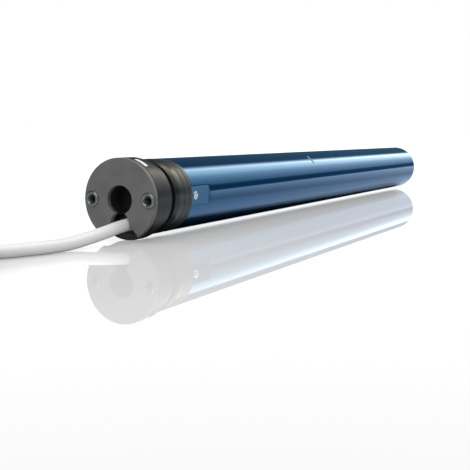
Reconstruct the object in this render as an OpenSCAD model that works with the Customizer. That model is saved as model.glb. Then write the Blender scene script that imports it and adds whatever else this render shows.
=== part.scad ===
// Tubular motor for a roller shutter: a long steel tube that slides into the shutter's
// winding roller. Y runs along the motor from the head's front face (y = 0) to the output
// shaft, Z is up, and the origin is the centre of the head's front face. Sizes are in mm.

/* [Tube] */
// Outside diameter of the steel motor tube
tube_d = 46.8; // [46.6:0.1:47]
// Wall thickness of the motor tube
tube_wall = 1.2; // [1:0.1:1.3]
// Place of the tube's far end, behind the head's face
tube_end_y = 583; // [575:1:600]
// Angle of the first crimp that holds the stator, from +X
crimp_angle = 47; // [30:1:60]

/* [Head] */
// Diameter of the fixed head
head_d = 50; // [49.6:0.1:50.4]
// Thickness of the head's front plate
plate_t = 3.6; // [3:0.1:4]
// Diameter of the bore that takes the bracket's stud
stud_bore_d = 17.2; // [16.8:0.1:17.6]
// Depth of the stud bore, from the face
stud_bore_depth = 16; // [14:0.5:17]
// Distance between the two threaded sleeves
sleeve_pitch = 39.5; // [39:0.1:39.8]
// Diameter of the hole in each sleeve, for an M6 thread
sleeve_hole_d = 5.3; // [5:0.1:5.5]
// Angle of the white limit button, from +X
white_angle = 63; // [60:1:66]
// How far a limit button can be pressed in
button_travel = 2; // [1:0.1:2.2]

/* [Output] */
// Diameter of the output shaft
shaft_d = 12; // [11.8:0.1:12.2]
// How far the shaft stands out of the end cap
shaft_out = 19; // [17:0.5:25]

/* [Gears] */
// Module of the planetary gears and of the crown's teeth
gear_m = 0.75; // [0.75:0.01:0.76]
// Module of the small gears that count the turns
count_m = 0.5; // [0.49:0.01:0.5]
// Play between meshing teeth, taken off each tooth
tooth_play = 0.12; // [0.1:0.01:0.16]
// Radial clearance between a shaft and its bore
run_gap = 0.04; // [0.03:0.01:0.06]

/* [Cable] */
// Outside diameter of the motor cable
cable_d = 7.5; // [7.2:0.1:7.5]

/* [Hidden] */

$fn = 72;
head_r = head_d / 2;
tube_r = tube_d / 2;
bore_r = tube_r - tube_wall;           // inside radius of the tube
fit_r = bore_r - 0.1;                  // outside radius of what is fixed inside the tube
stud_r = stud_bore_d / 2;
cut = 1;                               // how far a cutting shape runs past a face

// Places along the motor, behind the head's face
neck_y = 15;                           // the head steps down to the neck
journal_y = 22;                        // the neck ends, the crown's journal begins
cavity_y = 24;                         // the hollow inside the journal begins
crown_y = 27.4;
crown_end_y = 37.4;
collar_y = 37.8;
tube_y = 46.4;                         // the tube's near end
frame_y = 48;                          // front face of the limit frame
frame_end_y = 71.5;
frame_len = frame_end_y - frame_y;
frame_plate_t = 2.5;

// The tube's near end is pressed flat at both sides, and a screw there holds the frame
flat_x = 22.55;                        // outside face of the flat
flat_in_x = 21.45;                     // its inside face
flat_end_y = 70;
fit_gap = 0.05;
boss_x = 19.2;
screw_y = 51.5;
screw_r = 1.5;
screw_len = 7;
screw_head_r = 2.6;
screw_head_h = 0.8;
screw_slot = [4, 0.7];
crimp_y = 266;
crimp_size = [0.5, 2.5, 10];           // depth, along the motor, across

// Head and crown radii
plate_edge = 0.8;                      // the plate's bevel
body_edge = 0.6;
neck_r = tube_r - 0.1;
journal_r = 19;
spigot_r = 16.5;
cavity_r = 13.5;
crown_teeth_y = 32.4;
crown_tip = 1.25;                      // depth of the inner teeth, in modules
crown_root = 0.5;
seal_y = 22.6;
seal_t = 3;
seal_r = 20.8;

// Screw sleeves, pressed in from the front
sleeve_r = 4.7;
sleeve_edge = 0.5;
sleeve_out = 0.8;                      // they stand this far out of the plate
sleeve_end_y = 12;
sleeve_hole_end_y = 10.5;

// Half of the slot for the cable, below the stud bore, as [half width, z]
SLOT_HALF = [[3.2, -6], [3.2, -7.9], [5.8, -11], [7.6, -16.5], [12, -20.5], [12, -26]];
slot_depth = 9;                        // in the body, where it is wider than in the plate
slot_step = 1;

// Cable plug and its socket: width and height, and the place of the lower edge
socket_size = [16, 11.3];
socket_z = -20.8;
socket_end_y = 20;
plug_size = [15.4, 10.9];
plug_z = -20.6;
plug_y = 9.5;
plug_len = 9.4;
key_size = [6.4, 4];                   // opening between the socket and the stud bore
key_z = -10;
contact_r = 0.8;
contact_hole_r = 1;

// Window in the journal, where the pinion meets the crown's teeth
window_size = [10.4, 12];
window_z = 9;
window_gap = 0.6;
pinion_front_y = 26;
pinion_hole_r = 1.9;

// Turn counter: a pinion turned by the crown's teeth drives three equal double gears
crown_z = 50;
pinion_z = 10;
wheel_z = 30;
wheel_tip = 0.65;                      // short teeth, so that they clear the 10-tooth pinions
axle_r = 1.2;
pinion_axle_r = 1.25;
pinion_at = [0, (crown_z - pinion_z) * gear_m / 2];
axle_a = [-6, pinion_at[1] - 8];       // 10 mm from the pinion's axis
axle_b = [2, pinion_at[1] - 14];       // 10 mm from axle A
layer_t = 2.4;
function layer_y(i) = 51.4 + 2.6 * i;
function heading(a, b) = atan2(b[1] - a[1], b[0] - a[0]);
cams_y = [62.2, 65.6];
cam_t = 3;
cam_r = 7;
cam_hub_r = 2.6;

// Motor and brake
shield_y = 170;
stator_y = 192;
stator_len = 150;
rear_shield_y = 354;
shield_t = 10;
rotor_r = 12.2;
stator_bore_r = 12.5;
slots = 16;
slot_size = [5.4, 3.2];                // deep, wide
slot_r = 13.6;
winding_out = 9.6;                     // how far the windings stand out of the stator
winding_end_t = 9.4;
winding_r = [13.4, 20.4];
bearing_r = 9.5;
bearing_t = 6;
ball_gap_r = [5, 7.6];                 // the gap between a bearing's two rings
shaft_middle_r = 4;
journal_shaft_r = 3;
brake_y = 372;
brake_gap = 0.5;

// Gearbox: three equal planetary stages, each 5 : 1
sun_z = 12;
planet_z = 18;
ring_z = 48;
planet_at = (sun_z + planet_z) * gear_m / 2;
planet_pin_r = 2;
planet_tip = 0.85;                     // short teeth on the planets, in modules
housing_floor_t = 8;
ring_y = 470;
ring_end_y = 560;
stage_step = 28;
gear_w = 16;
plate_w = 4;
carrier_r = 16.9;
function stage_y(k) = ring_y + 4 + stage_step * (k - 1);
output_hub_r = 11;
output_hub_len = 8;
hub_bore_r = 5;
shaft_journal_r = 6.5;
end_hole_r = 2.1;
end_hole_depth = 14;
shaft_edge = 0.8;
groove_w = 1.1;
groove_depth = 0.5;
groove_from_end = 3.6;
bush_r = 9;
cap_bore_r = 17.2;
cap_y = 571;
cap_rim = 1.2;
shaft_end_y = tube_end_y + cap_rim + shaft_out;

// Cable: the loose run from the plug to the hank lies on the surface under the motor
cable_r = cable_d / 2;
floor_z = -25;
lie_z = floor_z + cable_r;
CABLE_ROUTE = [[4, 9.5, -14.5], [3.2, 4, -14.8], [2.4, -1, -15.4], [2, -7, -16.1],
    [2, -14, -17], [1.5, -22, -18], [0.5, -31, -19.2], [-1, -40, -20.4],
    [-2.5, -49, -21.1], [-4, -58, lie_z], [-6.5, -67, lie_z], [-10, -76, lie_z],
    [-14.5, -86, lie_z], [-20, -95.5, lie_z], [-26.5, -104.5, lie_z],
    [-34, -113.2, lie_z], [-41.5, -121, lie_z + 0.3]];
hank_at = [-16.5, -208.5];             // middle of the hank
hank_run = 119;                        // straight part of a turn
turn_r = [22.5, 37.5];                 // the inner and the outer turns' end radius
hank_layers = 2;                       // low enough to lie under the bracket's stud
tie_t = 0.5;                           // the ties lift the hank by their thickness
tie_w = 14;

steel = [0.55, 0.56, 0.58];
dark_plastic = [0.30, 0.30, 0.31];
black_plastic = [0.09, 0.09, 0.10];
copper = [0.72, 0.42, 0.25];

// A flat shape in X and Z, made solid from y0 over a length
module slab(y0, len) {
    translate([0, y0 + len, 0]) rotate([90, 0, 0]) linear_extrude(len) children();
}
module disc(y0, len, r, at = [0, 0]) { slab(y0, len) translate(at) circle(r); }
// What lies further out than x at both sides, to cut the flats for the tube's screws
module beyond(x, y0, len) {
    for (side = [-1, 1]) translate([side * (x + 10) - 10, y0, -20]) cube([20, len, 40]);
}
// A profile of [radius, y] points turned about the motor's axis
module turned(points) { rotate([-90, 0, 0]) rotate_extrude() polygon(points); }

// Involute gear outline: each flank has a point at four heights
function involute(a) = tan(a) * 180 / PI - a;
function flank(rp, rb, r, half) = half + involute(20) - involute(acos(min(1, rb / r)));
function gear_outline(m, z, phase, add, ded, play) =
    let (rp = m * z / 2, rb = rp * cos(20), ra = rp + add, rr = rp - ded,
        half = (90 / z) - play / 2 / rp * 180 / PI, low = max(rb, rr) + 0.001,
        heights = [for (i = [0:3]) low + (ra - low) * i / 3])
    [for (i = [0:z - 1]) let (a = phase + 360 * i / z) each concat(
        [[rr, a - flank(rp, rb, low, half)]],
        [for (h = heights) [h, a - flank(rp, rb, h, half)]],
        [for (j = [3:-1:0]) [heights[j], a + flank(rp, rb, heights[j], half)]],
        [[rr, a + flank(rp, rb, low, half)]])];
module gear(m, z, phase, add = 1, ded = 1.25, play = tooth_play) {
    polygon([for (p = gear_outline(m, z, phase, add * m, ded * m, play))
        p[0] * [cos(p[1]), sin(p[1])]]);
}

// Outline of the cable slot below the stud bore, and the same slot made wider
module slot_outline(extra = 0) {
    side = [for (i = [0:len(SLOT_HALF) - 1])
        [SLOT_HALF[i][0] + extra * (i < 2 ? 0.5 : 1), SLOT_HALF[i][1]]];
    polygon(concat([for (p = side) [-p[0], p[1]]],
        [for (i = [len(side) - 1:-1:0]) side[i]]));
}
module sleeve_holes(y0, len) {
    for (side = [-1, 1]) disc(y0, len, sleeve_r, [side * sleeve_pitch / 2, 0]);
}

// Front plate, held on by the sleeves, with the keyhole for stud and cable
module head_plate() color(dark_plastic) difference() {
    turned([[0, 0], [head_r - plate_edge, 0], [head_r, plate_edge], [head_r, plate_t],
        [0, plate_t]]);
    disc(-cut, plate_t + 2 * cut, stud_r);
    slab(-cut, plate_t + 2 * cut) slot_outline();
    sleeve_holes(-cut, plate_t + 2 * cut);
}

contact_at = [for (i = [-1.5:1.5]) [i * 3, -11.5]];
button_pocket = [9.2, 4];              // along the rim, along the motor
button_y = 7;
spring_floor_r = 17;
spring_solid = 1.5;                     // length left for the spring when a button is pressed
button_low_r = spring_floor_r + spring_solid + button_travel;
button_gap = 0.3;                       // to the pocket's walls
button_out = 0.2;                       // how far it stands out of the rim
spring_wire_r = 0.28;
// Put what is drawn around +X at an angle on the rim
module at_angle(a) { rotate([0, -a, 0]) children(); }

// A flat opening, centred on the motor's axis, from its lower edge up
module opening(size, z) { translate([-size[0] / 2, z]) square(size); }

module head_body() color(dark_plastic * 0.85) difference() {
    union() {
        turned([[0, plate_t], [head_r, plate_t], [head_r, neck_y - body_edge],
            [head_r - body_edge, neck_y], [neck_r, neck_y], [neck_r, journal_y],
            [0, journal_y]]);
        disc(journal_y, crown_teeth_y - journal_y - 0.4, journal_r);
        disc(journal_y, frame_y - journal_y, spigot_r);
    }
    disc(plate_t - cut, stud_bore_depth - plate_t + cut, stud_r);
    slab(plate_t - 0.01, slot_depth - plate_t) slot_outline(slot_step);
    // socket for the cable plug, open to the front through the slot
    slab(plate_t, socket_end_y - plate_t) opening(socket_size, socket_z);
    slab(plate_t, stud_bore_depth - plate_t) opening(key_size, key_z);
    disc(cavity_y, frame_y, cavity_r);
    // holes for the plug's contacts, through to the hollow journal
    for (p = contact_at) disc(socket_end_y - cut, cavity_y - socket_end_y + 2 * cut,
        contact_hole_r, p);
    sleeve_holes(plate_t - cut, sleeve_end_y - plate_t + cut);
    for (a = [white_angle, 180 - white_angle]) at_angle(a)
        translate([spring_floor_r, button_y - button_pocket[1] / 2, -button_pocket[0] / 2])
            cube([head_r, button_pocket[1], button_pocket[0]]);
    // front bearing of the pinion, and the window through which it meets the crown
    disc(pinion_front_y, 8, pinion_axle_r + run_gap, pinion_at);
    slab(crown_teeth_y - window_gap, crown_end_y - crown_teeth_y + 2 * window_gap)
        opening(window_size, window_z);
    disc(crown_end_y, frame_y - crown_end_y + cut, pinion_hole_r, pinion_at);
}

// Flanged steel sleeves with an M6 hole each, for the screws of the wall bracket
module sleeves() color(steel) for (side = [-1, 1]) difference() {
    translate([side * sleeve_pitch / 2, 0, 0])
        turned([[0, -sleeve_out], [sleeve_r - sleeve_edge, -sleeve_out],
            [sleeve_r, sleeve_edge - sleeve_out], [sleeve_r, sleeve_end_y],
            [0, sleeve_end_y]]);
    disc(-sleeve_out - cut, sleeve_hole_end_y + sleeve_out + cut, sleeve_hole_d / 2,
        [side * sleeve_pitch / 2, 0]);
}

// Limit buttons: their tops follow the rim
module limit_button(a) at_angle(a) intersection() {
    size = [head_r, button_pocket[1] - 2 * button_gap, button_pocket[0] - 2 * button_gap];
    translate([button_low_r, button_y - size[1] / 2, -size[2] / 2]) cube(size);
    disc(0, neck_y, head_r + button_out);
}
module button_white() color([0.93, 0.93, 0.92]) limit_button(white_angle);
module button_yellow() color([0.90, 0.75, 0.12]) limit_button(180 - white_angle);
module button_springs() color(steel) for (a = [white_angle, 180 - white_angle])
    at_angle(a) translate([spring_floor_r, button_y, 0]) rotate([0, 90, 0])
        swept(helix(1.3, spring_solid + button_travel - 0.1, 2.5, 0.3), spring_wire_r, 6);

// Cable plug: it sits in the socket, grips the cable and carries four contacts
module cable_plug() color(black_plastic) {
    slab(plug_y, plug_len) opening(plug_size, plug_z);
    for (p = contact_at) disc(14, 12, contact_r, p);
}

module crown_seal() color(black_plastic) difference() {
    disc(seal_y, seal_t, seal_r);
    disc(seal_y - cut, seal_t + 2 * cut, journal_r);
}

// Crown: turns on the head's journal with the roller, and drives the turn counter
module crown_ring() color(black_plastic) difference() {
    turned([[0, crown_y], [tube_r - 0.7, crown_y], [tube_r + 0.1, crown_y + 0.8],
        [tube_r + 0.1, crown_end_y - 0.4], [tube_r - 0.3, crown_end_y], [0, crown_end_y]]);
    disc(crown_y - cut, crown_teeth_y - crown_y - 0.2 + cut, journal_r + run_gap);
    slab(crown_teeth_y - 0.2, crown_end_y)
        gear(gear_m, crown_z, 180 / crown_z, crown_tip, crown_root, -tooth_play);
    disc(crown_end_y - 0.6, 2, journal_r + 0.9);
}

// Collar: fixed, keeps the crown on its journal and closes the tube's near end
module retaining_collar() color(black_plastic) difference() {
    turned([[0, collar_y], [tube_r - 0.4, collar_y], [tube_r, collar_y + 0.4],
        [tube_r, tube_y], [fit_r, tube_y], [fit_r, frame_y], [0, frame_y]]);
    disc(collar_y - 1, 12, spigot_r);
    beyond(flat_in_x - fit_gap, tube_y, frame_y - tube_y + 1);
}

// Limit frame: two plates and three pillars that carry the turn counter, and two bosses for
// the tube's screws
PILLAR_ANGLES = [45, 135, 270];
pillar_r = 1.8;
pillar_at = 19.6;
boss_size = [4.4, 8, 10];
module limit_frame() color([0.75, 0.75, 0.72]) difference() {
    union() {
        disc(frame_y, frame_plate_t, fit_r);
        disc(frame_end_y - frame_plate_t, frame_plate_t, fit_r);
        for (a = PILLAR_ANGLES) disc(frame_y, frame_len, pillar_r, pillar_at * [cos(a), sin(a)]);
        for (side = [-1, 1]) translate([side * boss_x - boss_size[0] / 2, frame_y,
            -boss_size[2] / 2]) cube(boss_size);
    }
    beyond(flat_in_x - fit_gap, frame_y - cut, frame_len + 2 * cut);
    disc(frame_y - cut, frame_len + 2 * cut, pinion_axle_r + run_gap, pinion_at);
    for (p = [axle_a, axle_b]) disc(frame_y - cut, frame_len + 2 * cut, axle_r, p);
    // ways for the leads through the two plates
    disc(frame_y - cut, frame_plate_t + 2 * cut, 6, [0, -9]);
    disc(frame_end_y - frame_plate_t - cut, frame_plate_t + 2 * cut, 4, [0, -13.5]);
    for (a = [0, 180]) at_angle(a) translate([boss_x - 5.2, screw_y, 0]) rotate([0, 90, 0])
        cylinder(h = 10, r = screw_r);
}
module gear_pins() color(steel)
    for (p = [axle_a, axle_b]) disc(frame_y, frame_end_y - frame_y, axle_r, p);

// Pinion: turned by the crown's inner teeth, five turns for one of the crown
module limit_pinion() color([0.85, 0.83, 0.75]) {
    disc(pinion_front_y + 0.4, frame_end_y - pinion_front_y + 0.1, pinion_axle_r, pinion_at);
    slab(crown_teeth_y, crown_end_y - crown_teeth_y - 0.2) translate(pinion_at)
        gear(gear_m, pinion_z, 90);
    slab(layer_y(0), layer_t) translate(pinion_at)
        gear(count_m, pinion_z, heading(pinion_at, axle_a));
}
// A 30-tooth wheel and a 10-tooth pinion in one piece, on the axle at `at`. The wheel
// is driven from `from` and the pinion drives what turns at `to`.
module count_gear(layer, at, from, to) color([0.88, 0.86, 0.78]) difference() {
    union() {
        slab(layer_y(layer), layer_t) translate(at)
            gear(count_m, wheel_z, heading(at, from) + 180 / wheel_z, wheel_tip);
        slab(layer_y(layer), layer_y(1) - layer_y(0) + layer_t) translate(at)
            gear(count_m, pinion_z, heading(at, to));
    }
    disc(frame_y, frame_len, axle_r + run_gap, at);
}
module count_gear_1() count_gear(0, axle_a, pinion_at, axle_b);
module count_gear_2() count_gear(1, axle_b, axle_a, axle_a);
module count_gear_3() count_gear(2, axle_a, axle_b, axle_b);
module cam_wheel() color([0.88, 0.86, 0.78]) difference() {
    union() {
        slab(layer_y(3), layer_t) translate(axle_b)
            gear(count_m, wheel_z, heading(axle_b, axle_a) + 180 / wheel_z, wheel_tip);
        disc(layer_y(3), cams_y[1] + cam_t - layer_y(3), cam_hub_r, axle_b);
    }
    disc(frame_y, frame_len, axle_r + run_gap, axle_b);
}
cam_notch = [40, 150];
module limit_cams() color([0.80, 0.30, 0.22]) for (i = [0, 1])
    slab(cams_y[i], cam_t) translate(axle_b) difference() {
        circle(cam_r);
        circle(cam_hub_r);
        rotate(cam_notch[i]) translate([cam_r - 1.4, -cam_t / 2]) square([cam_r, cam_t]);
    }

// Microswitches: a body below each cam and a plunger that stops 0.4 mm off the cam
plunger_z = axle_b[1] - cam_r - 0.4;
switch_size = [16, 8];
plunger_size = [2, 1.5];
module microswitches() color([0.16, 0.16, 0.18]) for (i = [0, 1])
    slab(cams_y[i], cams_y[1] - cams_y[0] - 0.1) {
        translate([axle_b[0] - switch_size[0] / 2, plunger_z - plunger_size[1] - switch_size[1]
            + 0.1]) square(switch_size);
        translate([axle_b[0] - plunger_size[0] / 2, plunger_z - plunger_size[1]])
            square(plunger_size);
    }

// Tube: near end pressed flat at both sides for the screws, three crimps on the stator
module tube() color([0.12, 0.24, 0.42]) difference() {
    disc(tube_y, tube_end_y - tube_y, tube_r);
    difference() {
        disc(tube_y - cut, tube_end_y - tube_y + 2 * cut, bore_r);
        beyond(flat_in_x, 0, flat_end_y);
    }
    beyond(flat_x, 0, flat_end_y);
    for (side = [-1, 1]) translate([side * flat_in_x, screw_y, 0]) rotate([0, 90, 0])
        cylinder(h = 8, r = screw_r + 0.1, center = true);
    for (a = [0:120:240]) at_angle(crimp_angle + a)
        translate([tube_r - crimp_size[0], crimp_y, -crimp_size[2] / 2])
            cube([2, crimp_size[1], crimp_size[2]]);
}
module tube_screws() color("silver") for (a = [0, 180]) at_angle(a)
    translate([flat_x - screw_len, screw_y, 0]) rotate([0, 90, 0]) difference() {
        union() {
            cylinder(h = screw_len, r = screw_r);
            translate([0, 0, screw_len]) cylinder(h = screw_head_h, r = screw_head_r);
        }
        translate([-screw_slot[0] / 2, -screw_slot[1] / 2, screw_len + 0.5])
            cube([screw_slot[0], screw_slot[1], cut]);
    }

// Capacitor in its plastic cradle, and the leads that pass it to the windings
cap_can_r = 17;
cap_can_y = 78;
cap_can_len = 71;
cap_can_edge = 0.6;
stud_len = 2;                           // the can's fixing stud
cradle_y = 80;
cradle_len = 72;
cradle_ring_t = 5;
lead_r = 0.9;
lead_at_r = 19.4;
lead_at = [for (i = [-1.5:1.5]) lead_at_r * [sin(i * 8), -cos(i * 8)]];
module lead_notch(y0, len) slab(y0, len) translate([-6, -23]) square([12, 5]);
module capacitor_cradle() color([0.70, 0.70, 0.70]) difference() {
    union() {
        for (y = [cradle_y, cradle_y + cradle_len - cradle_ring_t])
            disc(y, cradle_ring_t, fit_r);
        for (a = [30, 150]) disc(cradle_y, cradle_len, 2, 19.2 * [cos(a), sin(a)]);
    }
    disc(cradle_y - cut, cradle_len + 2 * cut, cap_can_r + 0.2);
    lead_notch(cradle_y - cut, cradle_len + 2 * cut);
}
module capacitor() color([0.82, 0.83, 0.85]) {
    can_end_y = cap_can_y + cap_can_len;
    turned([[0, cap_can_y], [cap_can_r - cap_can_edge, cap_can_y],
        [cap_can_r, cap_can_y + cap_can_edge], [cap_can_r, can_end_y - cap_can_edge],
        [cap_can_r - cap_can_edge, can_end_y], [6, can_end_y], [6, can_end_y + stud_len],
        [0, can_end_y + stud_len]]);
}
module inner_leads() color([0.30, 0.45, 0.75])
    for (p = lead_at) disc(frame_end_y, stator_y - winding_out - frame_end_y, lead_r, p);

// Motor: end shields with ball bearings, stator, windings, rotor
module shield(y0) color([0.62, 0.63, 0.65]) difference() {
    disc(y0, shield_t, fit_r);
    disc(y0 - cut, shield_t + 2 * cut, bearing_r);
    lead_notch(y0 - cut, shield_t + 2 * cut);
}
module bearing(y0) color("silver") difference() {
    front = y0 + (shield_t - bearing_t) / 2;
    disc(front, bearing_t, bearing_r);
    disc(front - cut, bearing_t + 2 * cut, journal_shaft_r + run_gap);
    for (y = [front - 0.1, front + bearing_t - 0.5]) slab(y, 0.6) difference() {
        circle(ball_gap_r[1]);
        circle(ball_gap_r[0]);
    }
}
module front_shield() shield(shield_y);
module front_bearing() bearing(shield_y);
module rear_shield() shield(rear_shield_y);
module rear_bearing() bearing(rear_shield_y);
module slot_bars() for (i = [0:slots - 1]) rotate(360 * (i + 0.5) / slots)
    translate([slot_r, -slot_size[1] / 2]) square(slot_size);
module stator_core() color([0.42, 0.43, 0.46]) slab(stator_y, stator_len) difference() {
    circle(fit_r);
    circle(stator_bore_r);
    slot_bars();
}
module windings() color(copper) {
    slab(stator_y - winding_out, stator_len + 2 * winding_out) slot_bars();
    for (y = [stator_y - winding_out, stator_y + stator_len + winding_out - winding_end_t])
        slab(y, winding_end_t) difference() {
            circle(winding_r[1]);
            circle(winding_r[0]);
        }
}
module rotor_core() color([0.60, 0.61, 0.63]) difference() {
    union() {
        disc(stator_y + 2, stator_len - 4, rotor_r);
        disc(stator_y - 3, stator_len + 6, rotor_r - 1.4);
    }
    disc(stator_y - 5, stator_len + 10, shaft_middle_r);
}
rotor_front_y = shield_y + 1.4;
module rotor_shaft() color("silver") {
    disc(rotor_front_y, stage_y(1) + gear_w - rotor_front_y, journal_shaft_r);
    disc(shield_y + shield_t + 0.6, rear_shield_y - shield_y - shield_t - 1.2, shaft_middle_r);
}

// Spring-applied brake: the coil pulls the armature off the disc
yoke_t = 20.5;
yoke_hub_r = 12.4;                     // the coil lies between the hub and the rim
yoke_rim_r = 18.4;
yoke_floor_t = 6;
spring_well_r = 9;
spring_well_t = 8;
hub_hole_r = 6;
coil_gap = 0.4;
coil_len = 13.4;
coil_spring_r = 7.4;
coil_spring_wire_r = 0.55;
coil_spring_len = 12.85;
armature_y = brake_y + yoke_t + brake_gap;
armature_t = 4;
armature_r = 20.6;
brake_disc_y = armature_y + armature_t + 0.05;
brake_disc_t = 3.6;
brake_disc_r = 19.5;
brake_plate_t = 5;
brake_hole_r = 5;
module brake_yoke() color([0.45, 0.46, 0.48]) difference() {
    disc(brake_y, yoke_t, fit_r);
    disc(brake_y - cut, yoke_t + 2 * cut, hub_hole_r);
    slab(brake_y + yoke_floor_t, yoke_t) difference() {
        circle(yoke_rim_r);
        circle(yoke_hub_r);
    }
    disc(brake_y + spring_well_t, yoke_t, spring_well_r);
}
module brake_coil() color(copper) slab(brake_y + yoke_floor_t + coil_gap, coil_len) difference() {
    circle(yoke_rim_r - coil_gap);
    circle(yoke_hub_r + coil_gap);
}
module brake_spring() color("silver")
    translate([0, brake_y + spring_well_t + 0.05, 0]) rotate([-90, 0, 0])
        swept(helix(coil_spring_r, coil_spring_len, 6, coil_spring_wire_r), coil_spring_wire_r, 8);
module brake_armature() color([0.50, 0.50, 0.52]) slab(armature_y, armature_t) difference() {
    circle(armature_r);
    circle(brake_hole_r);
}
module brake_disc() color([0.30, 0.25, 0.20]) difference() {
    disc(brake_disc_y, brake_disc_t, brake_disc_r);
    disc(brake_disc_y - cut, brake_disc_t + 2 * cut, journal_shaft_r);
}
module brake_plate() color([0.45, 0.46, 0.48])
    slab(brake_disc_y + brake_disc_t + 0.05, brake_plate_t) difference() {
        circle(fit_r);
        circle(brake_hole_r);
    }

// Gearbox
module sun_gear() color(steel) slab(stage_y(1) - 2, gear_w + 2) difference() {
    gear(gear_m, sun_z, 180 / sun_z);
    circle(journal_shaft_r);
}
// Housing with the ring teeth cut inside it, closed towards the motor
module gear_housing() color([0.50, 0.51, 0.53]) difference() {
    disc(ring_y - housing_floor_t, ring_end_y - ring_y + housing_floor_t, fit_r);
    slab(ring_y, ring_end_y) gear(gear_m, ring_z, 0, 1.25, planet_tip, -tooth_play);
    disc(ring_y - housing_floor_t - cut, housing_floor_t + 2 * cut, 6.4);
}
function planet_angle(i) = 120 * i - 30;
function planet_xz(i) = planet_at * [cos(planet_angle(i)), sin(planet_angle(i))];
// Planet i of stage k, meshed with its sun and the ring
module planet(k, i) color([0.88, 0.87, 0.80]) slab(stage_y(k), gear_w) translate(planet_xz(i))
    difference() {
        gear(gear_m, planet_z, planet_angle(i), planet_tip);
        circle(planet_pin_r + run_gap);
    }
module planet_1_1() planet(1, 1);
module planet_1_2() planet(1, 2);
module planet_1_3() planet(1, 3);
module planet_2_1() planet(2, 1);
module planet_2_2() planet(2, 2);
module planet_2_3() planet(2, 3);
module planet_3_1() planet(3, 1);
module planet_3_2() planet(3, 2);
module planet_3_3() planet(3, 3);
// Planet carrier: a plate with three pins, and on stages 1 and 2 the next stage's sun
module carrier(k) color(steel) {
    disc(stage_y(k) + gear_w + 1, plate_w, carrier_r);
    for (i = [1:3]) disc(stage_y(k) - 0.5, gear_w + 2, planet_pin_r, planet_xz(i));
}
module next_sun(k) color(steel)
    slab(stage_y(k) + gear_w + 2, stage_step - 2) gear(gear_m, sun_z, 180 / sun_z);
module carrier_1() {
    carrier(1);
    next_sun(1);
}
module carrier_2() {
    carrier(2);
    next_sun(2);
}
module carrier_3() difference() {
    union() {
        carrier(3);
        color(steel) disc(stage_y(3) + gear_w + 2, output_hub_len, output_hub_r);
    }
    disc(stage_y(3), stage_step, hub_bore_r);
}
groove_y = shaft_end_y - groove_from_end;
pin_y = tube_end_y + cap_rim;
// Output shaft: pressed into the last carrier, with a groove and an M5 hole in its end,
// either of which can hold a drive wheel
module output_shaft() color("silver") difference() {
    union() {
        disc(stage_y(3) + gear_w + 1, 20, hub_bore_r);
        disc(stage_y(3) + gear_w + 10, pin_y - stage_y(3) - gear_w - 10, shaft_journal_r);
        turned([[0, pin_y], [shaft_d / 2, pin_y], [shaft_d / 2, shaft_end_y - shaft_edge],
            [shaft_d / 2 - shaft_edge, shaft_end_y], [0, shaft_end_y]]);
    }
    slab(groove_y, groove_w) difference() {
        circle(shaft_d);
        circle(shaft_d / 2 - groove_depth);
    }
    disc(shaft_end_y - end_hole_depth, end_hole_depth + cut, end_hole_r);
}
module output_bush() color([0.70, 0.58, 0.30]) slab(cap_y, tube_end_y - cap_y) difference() {
    circle(bush_r);
    circle(shaft_journal_r + run_gap);
}
module end_cap() color(black_plastic) difference() {
    union() {
        disc(ring_end_y, tube_end_y - ring_end_y, fit_r);
        disc(tube_end_y, cap_rim, tube_r - 0.1);
    }
    disc(ring_end_y - cut, cap_y - ring_end_y + cut, cap_bore_r);
    disc(cap_y - cut, tube_end_y + cap_rim - cap_y + 2 * cut, bush_r);
}

// A closed tube swept along a path, with a ring of points at each of its places
function unit(v) = v / norm(v);
function along(path, i) = unit(path[min(i + 1, len(path) - 1)] - path[max(i - 1, 0)]);
function ring_at(path, i, r, n) =
    let (t = along(path, i), u = unit(cross(t, [0, 0, 1])), v = cross(u, t))
    [for (k = [0:n - 1]) path[i] + r * (cos(360 * k / n - 90) * u + sin(360 * k / n - 90) * v)];
module swept(path, r, n) {
    last = len(path) - 1;
    polyhedron([for (i = [0:last]) each ring_at(path, i, r, n)], concat(
        [[for (k = [0:n - 1]) k]],
        [for (i = [0:last - 1], k = [0:n - 1]) [i * n + k, (i + 1) * n + k,
            (i + 1) * n + (k + 1) % n, i * n + (k + 1) % n]],
        [[for (k = [n - 1:-1:0]) last * n + k]]));
}
// The path of a coil spring that stands on z = 0 around Z
function helix(r, height, turns, wire) = [for (i = [0:12 * turns])
    [r * cos(30 * i), r * sin(30 * i), wire + (height - 2 * wire) * i / (12 * turns)]];
module cable_run() color([0.90, 0.90, 0.90]) swept(CABLE_ROUTE, cable_r, 10);

// A turn's outline: two straight runs and two round ends
module turn_outline(r) {
    square([2 * r, hank_run], center = true);
    for (side = [-1, 1]) translate([0, side * hank_run / 2]) circle(r);
}
hank_z = floor_z + tie_t;
hank_h = hank_layers * cable_d;
top_layer_z = hank_z + (hank_layers - 1) * cable_d;
strip_len = (hank_run - tie_w) / 2;     // the sheath is stripped from the far loop to the tie
module cable_hank() color([0.90, 0.90, 0.90]) translate([hank_at[0], hank_at[1], 0]) difference() {
    translate([0, 0, hank_z]) linear_extrude(hank_h) difference() {
        turn_outline(turn_r[1] + cable_r);
        turn_outline(turn_r[0] - cable_r);
    }
    translate([turn_r[1] - cable_r, -hank_run / 2, top_layer_z])
        cube([2 * cable_d, strip_len, 2 * cable_d]);
}
bundle_w = turn_r[1] - turn_r[0] + cable_d;
module hank_ties() color([0.15, 0.15, 0.15]) for (side = [-1, 1])
    translate([hank_at[0] + side * (turn_r[0] + turn_r[1]) / 2, hank_at[1] + tie_w / 2, 0])
        rotate([90, 0, 0]) linear_extrude(tie_w) difference() {
            translate([-bundle_w / 2 - tie_t, floor_z])
                square([bundle_w + 2 * tie_t, hank_h + 2 * tie_t]);
            translate([-bundle_w / 2, hank_z]) square([bundle_w, hank_h]);
        }

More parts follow.
